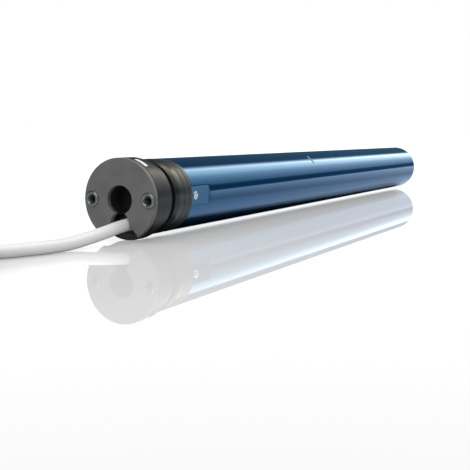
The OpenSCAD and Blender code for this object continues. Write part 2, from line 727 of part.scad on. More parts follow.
// The stripped end: four conductors with ferrules, lying on the hank's top outer turn
wire_r = 1.1;
ferrule_r = 1.3;
ferrule_len = 8;
wire_pitch = 2.8;
wire_len = strip_len - ferrule_len - 2;
module conductors(from, len, r)
    for (dx = [-wire_pitch / 2, wire_pitch / 2], dz = [ferrule_r, ferrule_r + wire_pitch - 0.1])
        disc(from, len, r, [hank_at[0] + turn_r[1] + dx, top_layer_z + dz]);
module cable_wires() {
    strip_y = hank_at[1] - hank_run / 2;
    color([0.45, 0.30, 0.15]) conductors(strip_y, wire_len, wire_r);
    color("silver") conductors(strip_y + wire_len, ferrule_len, ferrule_r);
}

head_plate();
head_body();
sleeves();
button_white();
button_yellow();
button_springs();
cable_plug();
crown_seal();
crown_ring();
retaining_collar();
limit_frame();
gear_pins();
limit_pinion();
count_gear_1();
count_gear_2();
count_gear_3();
cam_wheel();
limit_cams();
microswitches();
tube();
tube_screws();
capacitor_cradle();
capacitor();
inner_leads();
front_shield();
front_bearing();
stator_core();
windings();
rear_shield();
rear_bearing();
rotor_core();
rotor_shaft();
brake_yoke();
brake_coil();
brake_spring();
brake_armature();
brake_disc();
brake_plate();
sun_gear();
gear_housing();
planet_1_1();
planet_1_2();
planet_1_3();
carrier_1();
planet_2_1();
planet_2_2();
planet_2_3();
carrier_2();
planet_3_1();
planet_3_2();
planet_3_3();
carrier_3();
output_shaft();
output_bush();
end_cap();
cable_run();
cable_hank();
hank_ties();
cable_wires();
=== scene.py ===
# Tubular motor of a roller shutter, on a pale glossy surface. Y runs from the head's face to
# the output shaft, Z is up, and lengths are in metres.
import math

import bmesh
import bpy
from mathutils import Matrix, Vector


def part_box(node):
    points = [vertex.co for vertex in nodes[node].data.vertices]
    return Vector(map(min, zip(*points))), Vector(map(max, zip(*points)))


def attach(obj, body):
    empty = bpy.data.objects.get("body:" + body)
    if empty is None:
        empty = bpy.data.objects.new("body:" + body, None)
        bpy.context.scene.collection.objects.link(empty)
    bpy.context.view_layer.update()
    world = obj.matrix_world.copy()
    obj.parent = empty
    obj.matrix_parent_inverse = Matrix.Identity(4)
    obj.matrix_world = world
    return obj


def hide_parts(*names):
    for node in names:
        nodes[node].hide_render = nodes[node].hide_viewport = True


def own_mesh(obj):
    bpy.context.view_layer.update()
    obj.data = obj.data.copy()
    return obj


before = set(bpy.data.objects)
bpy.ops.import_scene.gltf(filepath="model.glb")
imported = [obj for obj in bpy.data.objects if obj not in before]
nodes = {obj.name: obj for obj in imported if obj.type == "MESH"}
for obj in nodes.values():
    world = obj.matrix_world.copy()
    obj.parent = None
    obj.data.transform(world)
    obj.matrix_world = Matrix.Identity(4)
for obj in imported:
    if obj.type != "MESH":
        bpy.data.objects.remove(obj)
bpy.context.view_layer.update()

# ---- Camera ----
# Level, a little above the motor and to the right of its head, looking along it.
def new_object(name, data):
    piece = bpy.data.objects.new(name, data)
    bpy.context.scene.collection.objects.link(piece)
    return piece


camera_data = bpy.data.cameras.new("camera")
camera_data.sensor_width = 36
camera_data.lens = 64.74
camera = new_object("camera", camera_data)
camera.location = (0.2842, -0.4154, 0.0381)
look = Vector((-0.4442, 0.8882, -0.1174))
camera.rotation_mode = "QUATERNION"
camera.rotation_quaternion = look.to_track_quat("-Z", "Y")
bpy.context.scene.camera = camera

# ---- Cable ----
# A round white sheath over four conductors. It leaves the plug through the head's slot, comes
# down to the surface, and its spare length is wound into a flat hank in front of the head.
MM = 0.001
CABLE_R = 3.75 * MM
CABLE_D = 2 * CABLE_R
FLOOR_Z = -0.025
CABLE_ROUTE = [
    (4, 9.5, -14.5), (3.2, 4, -14.8), (2.4, -1, -15.4), (2, -7, -16.1), (2, -14, -17),
    (1.5, -22, -18), (0.5, -31, -19.2), (-1, -40, -20.4), (-2.5, -49, -21.1),
    (-4, -58, -21.25), (-6.5, -67, -21.25), (-10, -76, -21.25), (-14.5, -86, -21.25),
    (-20, -95.5, -21.25), (-26.5, -104.5, -21.25), (-34, -113.2, -21.25),
    (-41.5, -121, -20.95),
]
HANK_X, HANK_Y = -0.0165, -0.2085
HANK_RUN = 0.119
HANK_TIE = 0.0005
INNER_TURN, MIDDLE_TURN, OUTER_TURN = 0.0225, 0.030, 0.0375
LOW = FLOOR_Z + HANK_TIE + CABLE_R
HIGH = LOW + CABLE_D
RUN_STEPS = 24
LEFT_STEP = 0.03                        # between the points of a turn's straight left side
CROSSING = 0.042                        # the stretch over which one turn crosses to the next
JOIN_ANGLE = 135                        # where the cable comes into the first turn, in degrees
# Each turn's radius and height, in the order in which they are wound
TURNS = [(OUTER_TURN, LOW), (MIDDLE_TURN, LOW), (INNER_TURN, LOW), (INNER_TURN, HIGH),
         (MIDDLE_TURN, HIGH), (OUTER_TURN, HIGH)]


def smooth_line(points, steps):
    """Points of a smooth line through the given points, steps of them to each stretch."""
    line = []
    ends = [2 * points[0] - points[1], *points, 2 * points[-1] - points[-2]]
    for i in range(1, len(ends) - 2):
        a, b, c, d = ends[i - 1:i + 3]
        for k in range(steps):
            t = k / steps
            line.append(0.5 * ((2 * b) + (c - a) * t + (2 * a - 5 * b + 4 * c - d) * t * t
                               + (3 * b - a - 3 * c + d) * t ** 3))
    return [*line, points[-1]]


def ease(t):
    """Goes from 0 to 1 with a soft start and a soft end."""
    t = min(1, max(0, t))
    return t * t * (3 - 2 * t)


def stadium(radius, height, angle_from, angle_to, step=12):
    """Points round an end of a turn, from one angle to another, in degrees."""
    centre_y = HANK_Y + (HANK_RUN / 2 if angle_from % 360 < 180 else -HANK_RUN / 2)
    count = max(2, round(abs(angle_to - angle_from) / step))
    for i in range(count + 1):
        a = math.radians(angle_from + (angle_to - angle_from) * i / count)
        yield Vector((HANK_X + radius * math.cos(a), centre_y + radius * math.sin(a), height))


def right_run(here, there):
    """The run where one turn crosses to the next, under the tie."""
    for i in range(1, RUN_STEPS):
        y = HANK_RUN * (i / RUN_STEPS - 0.5)
        share = ease(0.5 + y / CROSSING)
        radius = here[0] + (there[0] - here[0]) * share
        height = here[1] + (there[1] - here[1]) * share
        yield Vector((HANK_X + radius, HANK_Y + y, height))


def hank_line():
    """The hank's centreline, from where the cable joins it to the stripped end."""
    line = []
    for i, turn in enumerate(TURNS):
        radius, height = turn
        line += stadium(radius, height, JOIN_ANGLE if i == 0 else 0, 180)
        line += [Vector((HANK_X - radius, HANK_Y + y, height)) for y in (LEFT_STEP, 0, -LEFT_STEP)]
        line += stadium(radius, height, 180, 360)
        if i + 1 < len(TURNS):
            line += right_run(turn, TURNS[i + 1])
    return line


def new_curve(name, line, radius):
    """A round cord along a line of points."""
    data = bpy.data.curves.new(name, "CURVE")
    data.dimensions = "3D"
    data.bevel_depth = radius
    data.bevel_resolution = 6
    data.use_fill_caps = True
    spline = data.splines.new("POLY")
    spline.points.add(len(line) - 1)
    for point, place in zip(spline.points, line, strict=True):
        point.co = (*place, 1)
    spline.use_smooth = True
    return new_object(name, data)


route = smooth_line([Vector(p) * MM for p in CABLE_ROUTE], steps=4)
cable = new_curve("motor_cable", [*route, *hank_line()], CABLE_R)

# The sheath's plastic and every other finish are node materials. A Finish keeps a material's
# tree and its shader at hand, so that each section only states what its own piece looks like.


class Finish:
    def __init__(self, name, colour, roughness, metallic=0.0):
        self.material = bpy.data.materials.new(name)
        self.material.use_nodes = True
        self.tree = self.material.node_tree
        self.shader = self.tree.nodes["Principled BSDF"]
        self.shader.inputs["Base Color"].default_value = (*colour, 1)
        self.shader.inputs["Roughness"].default_value = roughness
        self.shader.inputs["Metallic"].default_value = metallic
        self.colour = colour
        self.roughness = roughness

    def set(self, **values):
        """Sets numbers on the shader's own sockets: coat_weight=1 sets Coat Weight."""
        for name, value in values.items():
            socket = self.shader.inputs[name.replace("_", " ").title().replace("Ior", "IOR")]
            socket.default_value = value
        return self

    def surface(self, group, **values):
        """Feeds the shader's colour, roughness and normal from a surface group."""
        self.group = self.tree.nodes.new("ShaderNodeGroup")
        self.group.node_tree = group
        self.group.inputs["Colour"].default_value = (*self.colour, 1)
        self.group.inputs["Roughness"].default_value = self.roughness
        for name, value in values.items():
            self.group.inputs[name.capitalize()].default_value = value
        for output, socket in (("Colour", "Base Color"), ("Roughness", "Roughness"),
                               ("Normal", "Normal")):
            self.tree.links.new(self.group.outputs[output], self.shader.inputs[socket])
        return self


def add_node(tree, kind, inputs, **settings):
    """Adds a node. An input is fed with a plain value or from another node's output."""
    node = tree.nodes.new(kind)
    for name, value in settings.items():
        setattr(node, name, value)
    for key, value in inputs.items():
        if isinstance(value, bpy.types.NodeSocket):
            tree.links.new(value, node.inputs[key])
        else:
            node.inputs[key].default_value = value
    return node


def maths(tree, operation, *values, **settings):
    inputs = dict(enumerate(values))
    return add_node(tree, "ShaderNodeMath", inputs, operation=operation, **settings).outputs[0]


def mix_colours(tree, share, a, b):
    inputs = {"Factor": share, "A": a, "B": b}
    return add_node(tree, "ShaderNodeMix", inputs, data_type="RGBA").outputs["Result"]


BROAD, FINE = 90, 1400                  # patches and grains to the metre, roughly
GRAIN_SHARE = 0.6
GRAIN_DEPTH = 0.1 * MM


def surface_group(name, stretch, detail):
    """A group that varies a colour, a roughness and a normal over the surface. Stretch draws
    the variation out along each axis: even for a moulding, long for what was drawn or turned."""
    group = bpy.data.node_groups.new(name, "ShaderNodeTree")
    for socket, kind, value in (("Colour", "NodeSocketColor", (0.5, 0.5, 0.5, 1)),
                                ("Roughness", "NodeSocketFloat", 0.5),
                                ("Scale", "NodeSocketFloat", 1.0),
                                ("Mottle", "NodeSocketFloat", 0.1),
                                ("Unevenness", "NodeSocketFloat", 0.1),
                                ("Height", "NodeSocketFloat", 0.1)):
        group.interface.new_socket(socket, in_out="INPUT", socket_type=kind).default_value = value
    for socket, kind in (("Colour", "NodeSocketColor"), ("Roughness", "NodeSocketFloat"),
                         ("Normal", "NodeSocketVector")):
        group.interface.new_socket(socket, in_out="OUTPUT", socket_type=kind)

    given = group.nodes.new("NodeGroupInput").outputs
    place = group.nodes.new("ShaderNodeTexCoord").outputs["Object"]
    drawn = add_node(group, "ShaderNodeMapping", {"Vector": place, "Scale": stretch})
    broad, fine = (add_node(group, "ShaderNodeTexNoise", {
        "Vector": drawn.outputs["Vector"], "Detail": detail,
        "Scale": maths(group, "MULTIPLY", given["Scale"], size)}).outputs["Fac"]
        for size in (BROAD, FINE))
    patches = maths(group, "SUBTRACT", broad, 0.5)
    grain = maths(group, "SUBTRACT", fine, 0.5)
    both = maths(group, "ADD", patches, maths(group, "MULTIPLY", grain, GRAIN_SHARE))
    brightness = maths(group, "ADD", maths(group, "MULTIPLY", both, given["Mottle"]), 1.0)
    tinted = add_node(group, "ShaderNodeVectorMath", {0: given["Colour"], "Scale": brightness},
                      operation="SCALE")
    rough = maths(group, "ADD", maths(group, "MULTIPLY", both, given["Unevenness"]),
                  given["Roughness"])
    bump = add_node(group, "ShaderNodeBump", {"Distance": GRAIN_DEPTH, "Height": fine,
                                              "Strength": given["Height"]})
    add_node(group, "NodeGroupOutput", {"Colour": tinted.outputs["Vector"], "Roughness": rough,
                                        "Normal": bump.outputs["Normal"]})
    return group


MOULDED = surface_group("moulded_surface", (1, 1, 1), 4)
DRAWN = surface_group("drawn_along_the_motor", (1, 0.03, 1), 5)
TURNED = surface_group("turned_on_a_lathe", (0.3, 6, 0.3), 3)


def dress(piece, finish, body="housing", stands_for=()):
    """Gives a piece its finish, its body and the CAD nodes that it stands for."""
    if piece.type == "MESH":
        piece.modifiers.new("even_shading", "WEIGHTED_NORMAL").keep_sharp = True
    piece.data.materials.clear()
    piece.data.materials.append(finish.material)
    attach(piece, body)
    if stands_for:
        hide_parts(*stands_for)
    return piece


sheath = Finish("white_sheath", (0.79, 0.79, 0.795), 0.36)
sheath.set(subsurface_weight=0.05, coat_weight=0.15, coat_roughness=0.3)
sheath.surface(MOULDED, scale=0.8, mottle=0.06, unevenness=0.18, height=0.05)
dress(cable, sheath, stands_for=("cable_run", "cable_hank"))

# ---- Cable's bare end ----
# Four insulated copper conductors, brown, black, blue and green with a yellow stripe. Each
# ends in a crimped tin ferrule. They come out of the sheath in two pairs, side by side.
WIRE_R = 1.1 * MM
WIRE_PITCH, ROW_PITCH = 2.8 * MM, 2.7 * MM
STRIP_Y = HANK_Y - HANK_RUN / 2         # where the sheath ends
WIRE_START = STRIP_Y - 1 * MM
FERRULE_R = 1.3 * MM
FERRULE_LEN = 8 * MM
FERRULE_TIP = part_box("cable_wires")[1].y
FERRULE_Y = FERRULE_TIP - FERRULE_LEN
# A ferrule's outline from where the wire's insulation ends: its skirt, then the crimped pin
FERRULE = [(0.7, -0.5), (1.3, -0.5), (1.3, 1.5), (0.9, 2), (0.9, 8), (0.2, 8)]
WIRE_COLOURS = {"brown": (0.16, 0.06, 0.025), "black": (0.02, 0.02, 0.022),
                "blue": (0.03, 0.14, 0.42), "earth": (0.10, 0.36, 0.08)}
STRIPE_YELLOW = (0.80, 0.62, 0.04, 1)
SAME_PLACE = 1e-7


def new_mesh(name, verts, faces, smooth=True):
    """A mesh without doubled points, its faces turned outwards."""
    data = bpy.data.meshes.new(name)
    data.from_pydata([tuple(v) for v in verts], [], faces)
    cleaner = bmesh.new()
    cleaner.from_mesh(data)
    bmesh.ops.remove_doubles(cleaner, verts=cleaner.verts, dist=SAME_PLACE)
    bmesh.ops.recalc_face_normals(cleaner, faces=cleaner.faces)
    cleaner.to_mesh(data)
    cleaner.free()
    data.shade_smooth() if smooth else data.shade_flat()
    return new_object(name, data)


def skin(name, rings, closed=False, caps=False, smooth=True):
    """A surface through rings of as many points. Closed joins the last ring to the first, and
    caps closes both ends."""
    around, count = len(rings[0]), len(rings)
    faces = []
    for j in range(count if closed else count - 1):
        here, there = j * around, (j + 1) % count * around
        faces += [(here + k, here + (k + 1) % around, there + (k + 1) % around, there + k)
                  for k in range(around)]
    if caps:
        faces += [tuple(range(around)), tuple(range((count - 1) * around, count * around))]
    return new_mesh(name, [p for ring in rings for p in ring], faces, smooth)


def soften(piece, angle=32):
    """Smooth shading, with an edge where two faces meet at more than the angle."""
    piece.data.set_sharp_from_angle(angle=math.radians(angle))
    return piece


def rounded(corners, radius, steps=4, least_turn=0):
    """A closed outline with its corners turned into small arcs, bar those on the axis and those
    that turn by less than an angle in degrees."""
    line = []
    for i, corner in enumerate(corners):
        corner = Vector(corner)
        to_before = Vector(corners[i - 1]) - corner
        to_after = Vector(corners[(i + 1) % len(corners)]) - corner
        turn = math.pi - to_before.angle(to_after)
        if corner.x == 0 or turn < math.radians(least_turn):
            line.append(corner)
            continue
        reach = min(radius, to_before.length * 0.45, to_after.length * 0.45)
        a, b = corner + to_before.normalized() * reach, corner + to_after.normalized() * reach
        for k in range(steps + 1):
            t = k / steps
            line.append((1 - t) ** 2 * a + 2 * t * (1 - t) * corner + t * t * b)
    return line


def round_about(steps):
    return [2 * math.pi * k / steps for k in range(steps)]


def lathe(name, outline, segments=144, at=(0, 0)):
    """A closed outline of (radius, y), turned about an axis along Y through (x, z)."""
    rings = [[(at[0] + r * math.cos(a), y, at[1] + r * math.sin(a)) for r, y in outline]
             for a in round_about(segments)]
    return soften(skin(name, rings, closed=True))


def stripe(finish, colour, middle, half_width):
    """Paints a yellow stripe along Y, about x = middle, over a finish's own colour."""
    tree = finish.tree
    place = tree.nodes.new("ShaderNodeTexCoord").outputs["Object"]
    x = add_node(tree, "ShaderNodeSeparateXYZ", {"Vector": place}).outputs["X"]
    near = maths(tree, "COMPARE", x, middle, half_width)
    mixed = mix_colours(tree, near, (*colour, 1), STRIPE_YELLOW)
    tree.links.new(mixed, finish.group.inputs["Colour"])


ferrule_metal = Finish("tin_ferrule", (0.72, 0.72, 0.73), 0.28, 1.0)
ferrule_metal.surface(TURNED, mottle=0.2, unevenness=0.2, height=0.1)
bare_end = []
spots = [(dx, dz) for dx in (-WIRE_PITCH / 2, WIRE_PITCH / 2)
         for dz in (FERRULE_R, FERRULE_R + ROW_PITCH)]
for (label, colour), (dx, dz) in zip(WIRE_COLOURS.items(), spots, strict=True):
    x, z = HANK_X + OUTER_TURN + dx, HIGH - CABLE_R + dz
    wire = new_curve(f"conductor_{label}",
                     [Vector((x, WIRE_START, z)), Vector((x, FERRULE_Y, z))], WIRE_R)
    insulation = Finish(f"insulation_{label}", colour, 0.4)
    insulation.surface(MOULDED, mottle=0.15, unevenness=0.2, height=0.05)
    if label == "earth":
        stripe(insulation, colour, x, WIRE_R * 0.4)
    dress(wire, insulation, stands_for=("cable_wires",))
    outline = [(r * MM, FERRULE_Y + y * MM) for r, y in FERRULE]
    tip = lathe(f"ferrule_{label}", rounded(outline, 0.12 * MM), 32, (x, z))
    dress(tip, ferrule_metal)
    bare_end += [wire, tip]

# ---- Hank's ties ----
# Two straps of black hook-and-loop tape, one round each run. The free end of each laps over
# the top of the strap.
TIE_WIDTH = 14 * MM
TIE_ROWS = 12
TIE_INSIDE = 0.02 * MM
TIE_THINNING = 0.25                     # of the tape's thickness, at its two edges
FLAP_INSET = 0.6 * MM
FLAP_REACH = (-0.62, 0.5)               # from the strap's middle, in halves of the bundle
FLAP_Z = (-0.2 * MM, 0.35 * MM)
BUNDLE = OUTER_TURN - INNER_TURN + CABLE_D


def join(piece, others):
    """Merges other pieces' meshes into the first."""
    whole = bmesh.new()
    for part in (piece, *others):
        whole.from_mesh(part.data)
    whole.to_mesh(piece.data)
    whole.free()
    for part in others:
        bpy.data.objects.remove(part)
    return soften(piece)


tape = Finish("woven_tape", (0.022, 0.022, 0.026), 0.85)
tape.set(sheen_weight=0.5, sheen_roughness=0.4)
tape.surface(MOULDED, scale=1.6, mottle=0.9, unevenness=0.2, height=0.9)
hank_low, hank_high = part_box("cable_hank")
straps = []
for side in (-1, 1):
    middle = HANK_X + side * (INNER_TURN + OUTER_TURN) / 2
    half = BUNDLE / 2
    corners = [(middle - half, hank_low.z), (middle + half, hank_low.z),
               (middle + half, hank_high.z), (middle - half, hank_high.z)]
    bundle = rounded(corners, CABLE_R, 6)
    centre = Vector((middle, (hank_low.z + hank_high.z) / 2))
    inside, outside = [], []
    for row in range(TIE_ROWS + 1):
        across = row / TIE_ROWS - 0.5
        thinned = HANK_TIE * (1 - TIE_THINNING * (abs(across) * 2) ** 8)
        for rings, shift in ((inside, TIE_INSIDE), (outside, thinned)):
            moved = [p + (p - centre).normalized() * shift for p in bundle]
            rings.append([(p.x, HANK_Y + TIE_WIDTH * across, max(p.y, FLOOR_Z)) for p in moved])
    straps.append(skin("strap", [*inside, *reversed(outside)], closed=True))
    left, right = (middle + half * reach for reach in FLAP_REACH)
    near, far = HANK_Y - TIE_WIDTH / 2 + FLAP_INSET, HANK_Y + TIE_WIDTH / 2 - FLAP_INSET
    flap = rounded([(left, near), (right, near), (right, far), (left, far)], 2.5 * MM, 6)
    straps.append(skin("strap_end", [[(p.x, p.y, hank_high.z + HANK_TIE + z) for p in flap]
                                     for z in FLAP_Z], caps=True))
ties = join(straps[0], straps[1:])
ties.name = "hank_straps"
dress(ties, tape, stands_for=("hank_ties",))

# ---- Surface and light ----
# A large white glossy sheet under soft light: a long lamp above the motor, a broad one in front
# of its head and a white room. What the motor's gloss shows of the room is a ramp of colours by
# direction, further down, and neither lamp is seen in it.
FLOOR_HALF = 30
FLOOR_GAP = 0.05 * MM                   # keeps the sheet clear of the faces that rest on it
FLOOR_GREY = (0.46, 0.46, 0.46)
FLOOR_GLOW = 0.30
floor = new_mesh("floor", [(x * FLOOR_HALF, y * FLOOR_HALF, FLOOR_Z - FLOOR_GAP)
                           for x, y in ((-1, -1), (1, -1), (1, 1), (-1, 1))], [(0, 1, 2, 3)])
floor_finish = Finish("white_gloss_sheet", FLOOR_GREY, 0.0)
floor_finish.set(ior=1.7, emission_color=(1, 1, 1, 1))
floor_tree, floor_inputs = floor_finish.tree, floor_finish.shader.inputs
floor_rays = floor_tree.nodes.new("ShaderNodeLightPath").outputs
# The sheet glows a little for the camera alone, which keeps its white even
floor_tree.links.new(maths(floor_tree, "MULTIPLY", floor_rays["Is Camera Ray"], FLOOR_GLOW),
                     floor_inputs["Emission Strength"])


def colour_ramp(tree, position, stops):
    """The colour at a position between stops, each given as its place and its colour."""
    ramp = add_node(tree, "ShaderNodeValToRGB", {"Fac": position})
    elements = ramp.color_ramp.elements
    for k, (place, colour) in enumerate(stops):
        stop = elements[k] if k < len(elements) else elements.new(place)
        stop.position = place
        stop.color = (*colour, 1)
    return ramp.outputs["Color"]


# Painted shade and light on the sheet as the motor's gloss sees it, by distance: a painted
# shadow under the motor, painted light beside it and dim further off
PAINTED_SHEET_SHADING = [(0.0195, (0.01, 0.03, 0.04)), (0.027, (0.72, 0.75, 0.78)),
         (0.045, (0.42, 0.52, 0.58)), (0.10, (0.02, 0.07, 0.09))]
sheet_shade_by_distance = colour_ramp(floor_tree, floor_rays["Ray Length"], PAINTED_SHEET_SHADING)
# Only rays off gloss see this painted shadow and light; all other rays see the sheet's even grey
floor_tree.links.new(mix_colours(floor_tree, floor_rays["Is Glossy Ray"], (*FLOOR_GREY, 1),
                                 sheet_shade_by_distance), floor_inputs["Base Color"])
floor.data.materials.append(floor_finish.material)


def softbox(name, place, target, size, power):
    """A broad lamp that lights the motor and isn't seen itself, straight on or in gloss."""
    data = bpy.data.lights.new(name, "AREA")
    data.shape = "RECTANGLE"
    data.size, data.size_y = size
    data.energy = power
    lamp = new_object(name, data)
    lamp.location = place
    lamp.rotation_mode = "QUATERNION"
    lamp.rotation_quaternion = (Vector(target) - Vector(place)).to_track_quat("-Z", "Y")
    lamp.visible_camera = False
    lamp.visible_glossy = False


softbox("lamp_above", (0.25, 0.30, 1.30), (0, 0.30, 0), (0.5, 1.6), 5)
softbox("lamp_front", (-0.55, -1.15, 0.60), (0, 0, 0), (0.7, 0.7), 3.5)

# The room as the motor's gloss shows it: round the motor's length from straight right (0.5)
# by straight up (0.75) to straight left (1), the bright strip lies a little right of the top.
# Mirror rays off the sheet and all soft light find an even white room instead.
ROOM = [(0.0, (0.20, 0.22, 0.25)), (0.49, (0.4, 0.45, 0.5)), (0.502, (0.7, 0.75, 0.75)),
        (0.506, (0.04, 0.11, 0.17)), (0.552, (0.04, 0.12, 0.18)), (0.566, (0.36, 0.46, 0.52)),
        (0.60, (0.60, 0.68, 0.70)), (0.645, (1.1, 1.15, 1.05)), (0.66, (1.6, 1.6, 1.35)),
        (0.71, (2.9, 2.7, 2.1)), (0.728, (3.8, 3.4, 2.6)), (0.742, (1.6, 1.5, 1.2)),
        (0.765, (0.07, 0.14, 0.19)), (1.0, (0.04, 0.08, 0.11))]
world = bpy.data.worlds.new("studio")
world.use_nodes = True
tree = world.node_tree
direction = tree.nodes.new("ShaderNodeTexCoord").outputs["Generated"]
parts = add_node(tree, "ShaderNodeSeparateXYZ", {"Vector": direction}).outputs
angle = maths(tree, "ARCTAN2", parts["Z"], parts["X"])
turn = maths(tree, "MULTIPLY_ADD", angle, 1 / (2 * math.pi), 0.5)
rays = tree.nodes.new("ShaderNodeLightPath").outputs
soft_gloss = maths(tree, "SUBTRACT", rays["Is Glossy Ray"], rays["Is Singular Ray"],
                   use_clamp=True)
room = mix_colours(tree, soft_gloss, (1, 1, 1, 1), colour_ramp(tree, turn, ROOM))
tree.links.new(room, tree.nodes["Background"].inputs["Color"])
bpy.context.scene.world = world
bpy.context.scene.view_settings.view_transform = "Standard"

# ---- Head's front plate ----
# Glass-filled nylon, moulded matt. A round plate with the bore for the bracket's stud, the
# slot for the cable below it, and a hole for a screw sleeve at either side.
plate_low, plate_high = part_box("head_plate")
HEAD_R = plate_high.x
PLATE_T = plate_high.y
STUD_R = 8.6 * MM
SLEEVE_X = 19.75 * MM
SLEEVE_R = 4.7 * MM
# The slot's right side in mm, from the stud bore down, and where it runs out of the head
SLOT = [(3.2, -7.98), (5.8, -11), (7.6, -16.5), (12, -20.5)]
SLOT_FOOT = 12 * MM
PLATE_EDGE = 0.45 * MM
PLATE_GAP = 0.15 * MM                   # the joint between plate and body


def arc(radius, angle_from, angle_to, steps, centre=(0, 0)):
    return [Vector((centre[0] + radius * math.cos(math.radians(a)),
                    centre[1] + radius * math.sin(math.radians(a))))
            for a in (angle_from + (angle_to - angle_from) * k / steps
                      for k in range(steps + 1))]


def circle(radius, count, centre=(0, 0)):
    return arc(radius, 0, 360 - 360 / count, count - 1, centre)


def mirrored(side):
    """The left side of an outline, from the points of its right side."""
    return [Vector((-p.x, p.y)) for p in reversed(side)]


def keyhole(radius, side, foot, stud):
    """The head's outline: its rim, and the slot that opens at its foot into the stud bore."""
    rim_angle = math.degrees(math.atan2(-math.sqrt(radius ** 2 - foot ** 2), foot))
    neck_angle = math.degrees(math.atan2(side[0].y, side[0].x))
    outline = [*arc(radius, rim_angle, 180 - rim_angle, 150), *mirrored(side),
               *arc(stud, 180 - neck_angle, neck_angle, 72)[1:-1], *side]
    return rounded(outline, 0.6 * MM, least_turn=20)


def moulding(name, outlines, start, end, fillet):
    """A flat outline with holes, made solid from start to end along Y, its edges rounded."""
    data = bpy.data.curves.new(name, "CURVE")
    data.dimensions = "2D"
    data.fill_mode = "BOTH"
    data.extrude = (end - start) / 2 - fillet
    data.bevel_depth = fillet
    data.offset = -fillet
    data.bevel_resolution = 3
    for outline in outlines:
        spline = data.splines.new("POLY")
        spline.points.add(len(outline) - 1)
        for point, place in zip(spline.points, outline, strict=True):
            point.co = (place.x, place.y, 0, 1)
        spline.use_cyclic_u = True
    pattern = new_object(name, data)
    depsgraph = bpy.context.evaluated_depsgraph_get()
    solid = bpy.data.meshes.new_from_object(pattern.evaluated_get(depsgraph))
    bpy.data.objects.remove(pattern)
    solid.transform(Matrix.Translation((0, (start + end) / 2, 0))
                    @ Matrix.Rotation(math.pi / 2, 4, "X"))
    solid.shade_smooth()
    solid.materials.clear()
    return soften(new_object(name, solid))


head_finish = Finish("matt_nylon", (0.132, 0.131, 0.133), 0.50)
head_finish.surface(MOULDED, scale=1.0, mottle=0.6, unevenness=0.25, height=0.4)
face = keyhole(HEAD_R, [Vector(p) * MM for p in SLOT], SLOT_FOOT, STUD_R)
holes = [circle(SLEEVE_R, 60, (side * SLEEVE_X, 0)) for side in (-1, 1)]
front_plate = moulding("front_plate", [face, *holes], plate_low.y, PLATE_T - PLATE_GAP,
                       PLATE_EDGE)
dress(front_plate, head_finish, stands_for=("head_plate",))

# ---- Head's body ----
# The moulding behind the plate, of the same nylon but glossier, its colour painted far darker
# than the plate's as painted shade for the stud bore and the head's side. It holds the plug, the
# buttons and the stud bore, steps down to a neck, and carries the crown on its journal.
# Painted shade: a near-black colour, so that the stud bore and the head's side read as shaded
body_finish = Finish("satin_nylon", (0.022, 0.022, 0.022), 0.34)
body_finish.set(specular_ior_level=0.34)
body_finish.surface(MOULDED, scale=0.9, mottle=0.4, unevenness=0.25, height=0.2)
NECK_Y = 15 * MM
NECK_R = 23.3 * MM
JOURNAL_Y = 22 * MM
JOURNAL_R = 19 * MM
SPIGOT_Y, SPIGOT_END = 32 * MM, 48 * MM
SPIGOT_R = 16.5 * MM
HOLLOW_Y, HOLLOW_R = 24 * MM, 13.5 * MM
BODY_EDGE = 0.45 * MM
body_outline = rounded([
    (0, PLATE_T), (HEAD_R, PLATE_T), (HEAD_R, NECK_Y), (NECK_R, NECK_Y),
    (NECK_R, JOURNAL_Y), (JOURNAL_R, JOURNAL_Y), (JOURNAL_R, SPIGOT_Y),
    (SPIGOT_R, SPIGOT_Y), (SPIGOT_R, SPIGOT_END), (HOLLOW_R, SPIGOT_END),
    (HOLLOW_R, HOLLOW_Y), (0, HOLLOW_Y)], BODY_EDGE)
head_body = lathe("head_moulding", body_outline, 192)


def cutter_prism(outline, start, end):
    rings = [[(x, y, z) for x, z in outline] for y in (start, end)]
    return skin("cutter", rings, caps=True, smooth=False)


def carve(piece, cutters):
    """Takes the cutters out of a piece and removes them."""
    for cutter in cutters:
        cut = piece.modifiers.new("carve", "BOOLEAN")
        cut.operation = "DIFFERENCE"
        cut.solver = "EXACT"
        cut.object = cutter
    depsgraph = bpy.context.evaluated_depsgraph_get()
    solid = bpy.data.meshes.new_from_object(piece.evaluated_get(depsgraph))
    piece.modifiers.clear()
    piece.data = solid
    for cutter in cutters:
        bpy.data.objects.remove(cutter)
    solid.shade_smooth()
    return soften(piece)


def box_outline(half_x, low_z, high_z):
    return [(-half_x, low_z), (half_x, low_z), (half_x, high_z), (-half_x, high_z)]


def turned_to(piece, angle):
    """Turns a piece about the motor's axis, from +X up towards +Z."""
    piece.data.transform(Matrix.Rotation(-math.radians(angle), 4, "Y"))
    return piece


WHITE_ANGLE = 63
BUTTON_ANGLES = {"white": WHITE_ANGLE, "yellow": 180 - WHITE_ANGLE}
BUTTON_Y = 7 * MM
WELL_FLOOR, WELL_TOP = 17 * MM, 27 * MM
WELL_HALF = (2 * MM, 4.6 * MM)
STUD_BORE_END = 16 * MM
SLEEVE_BORE_END = 12.1 * MM
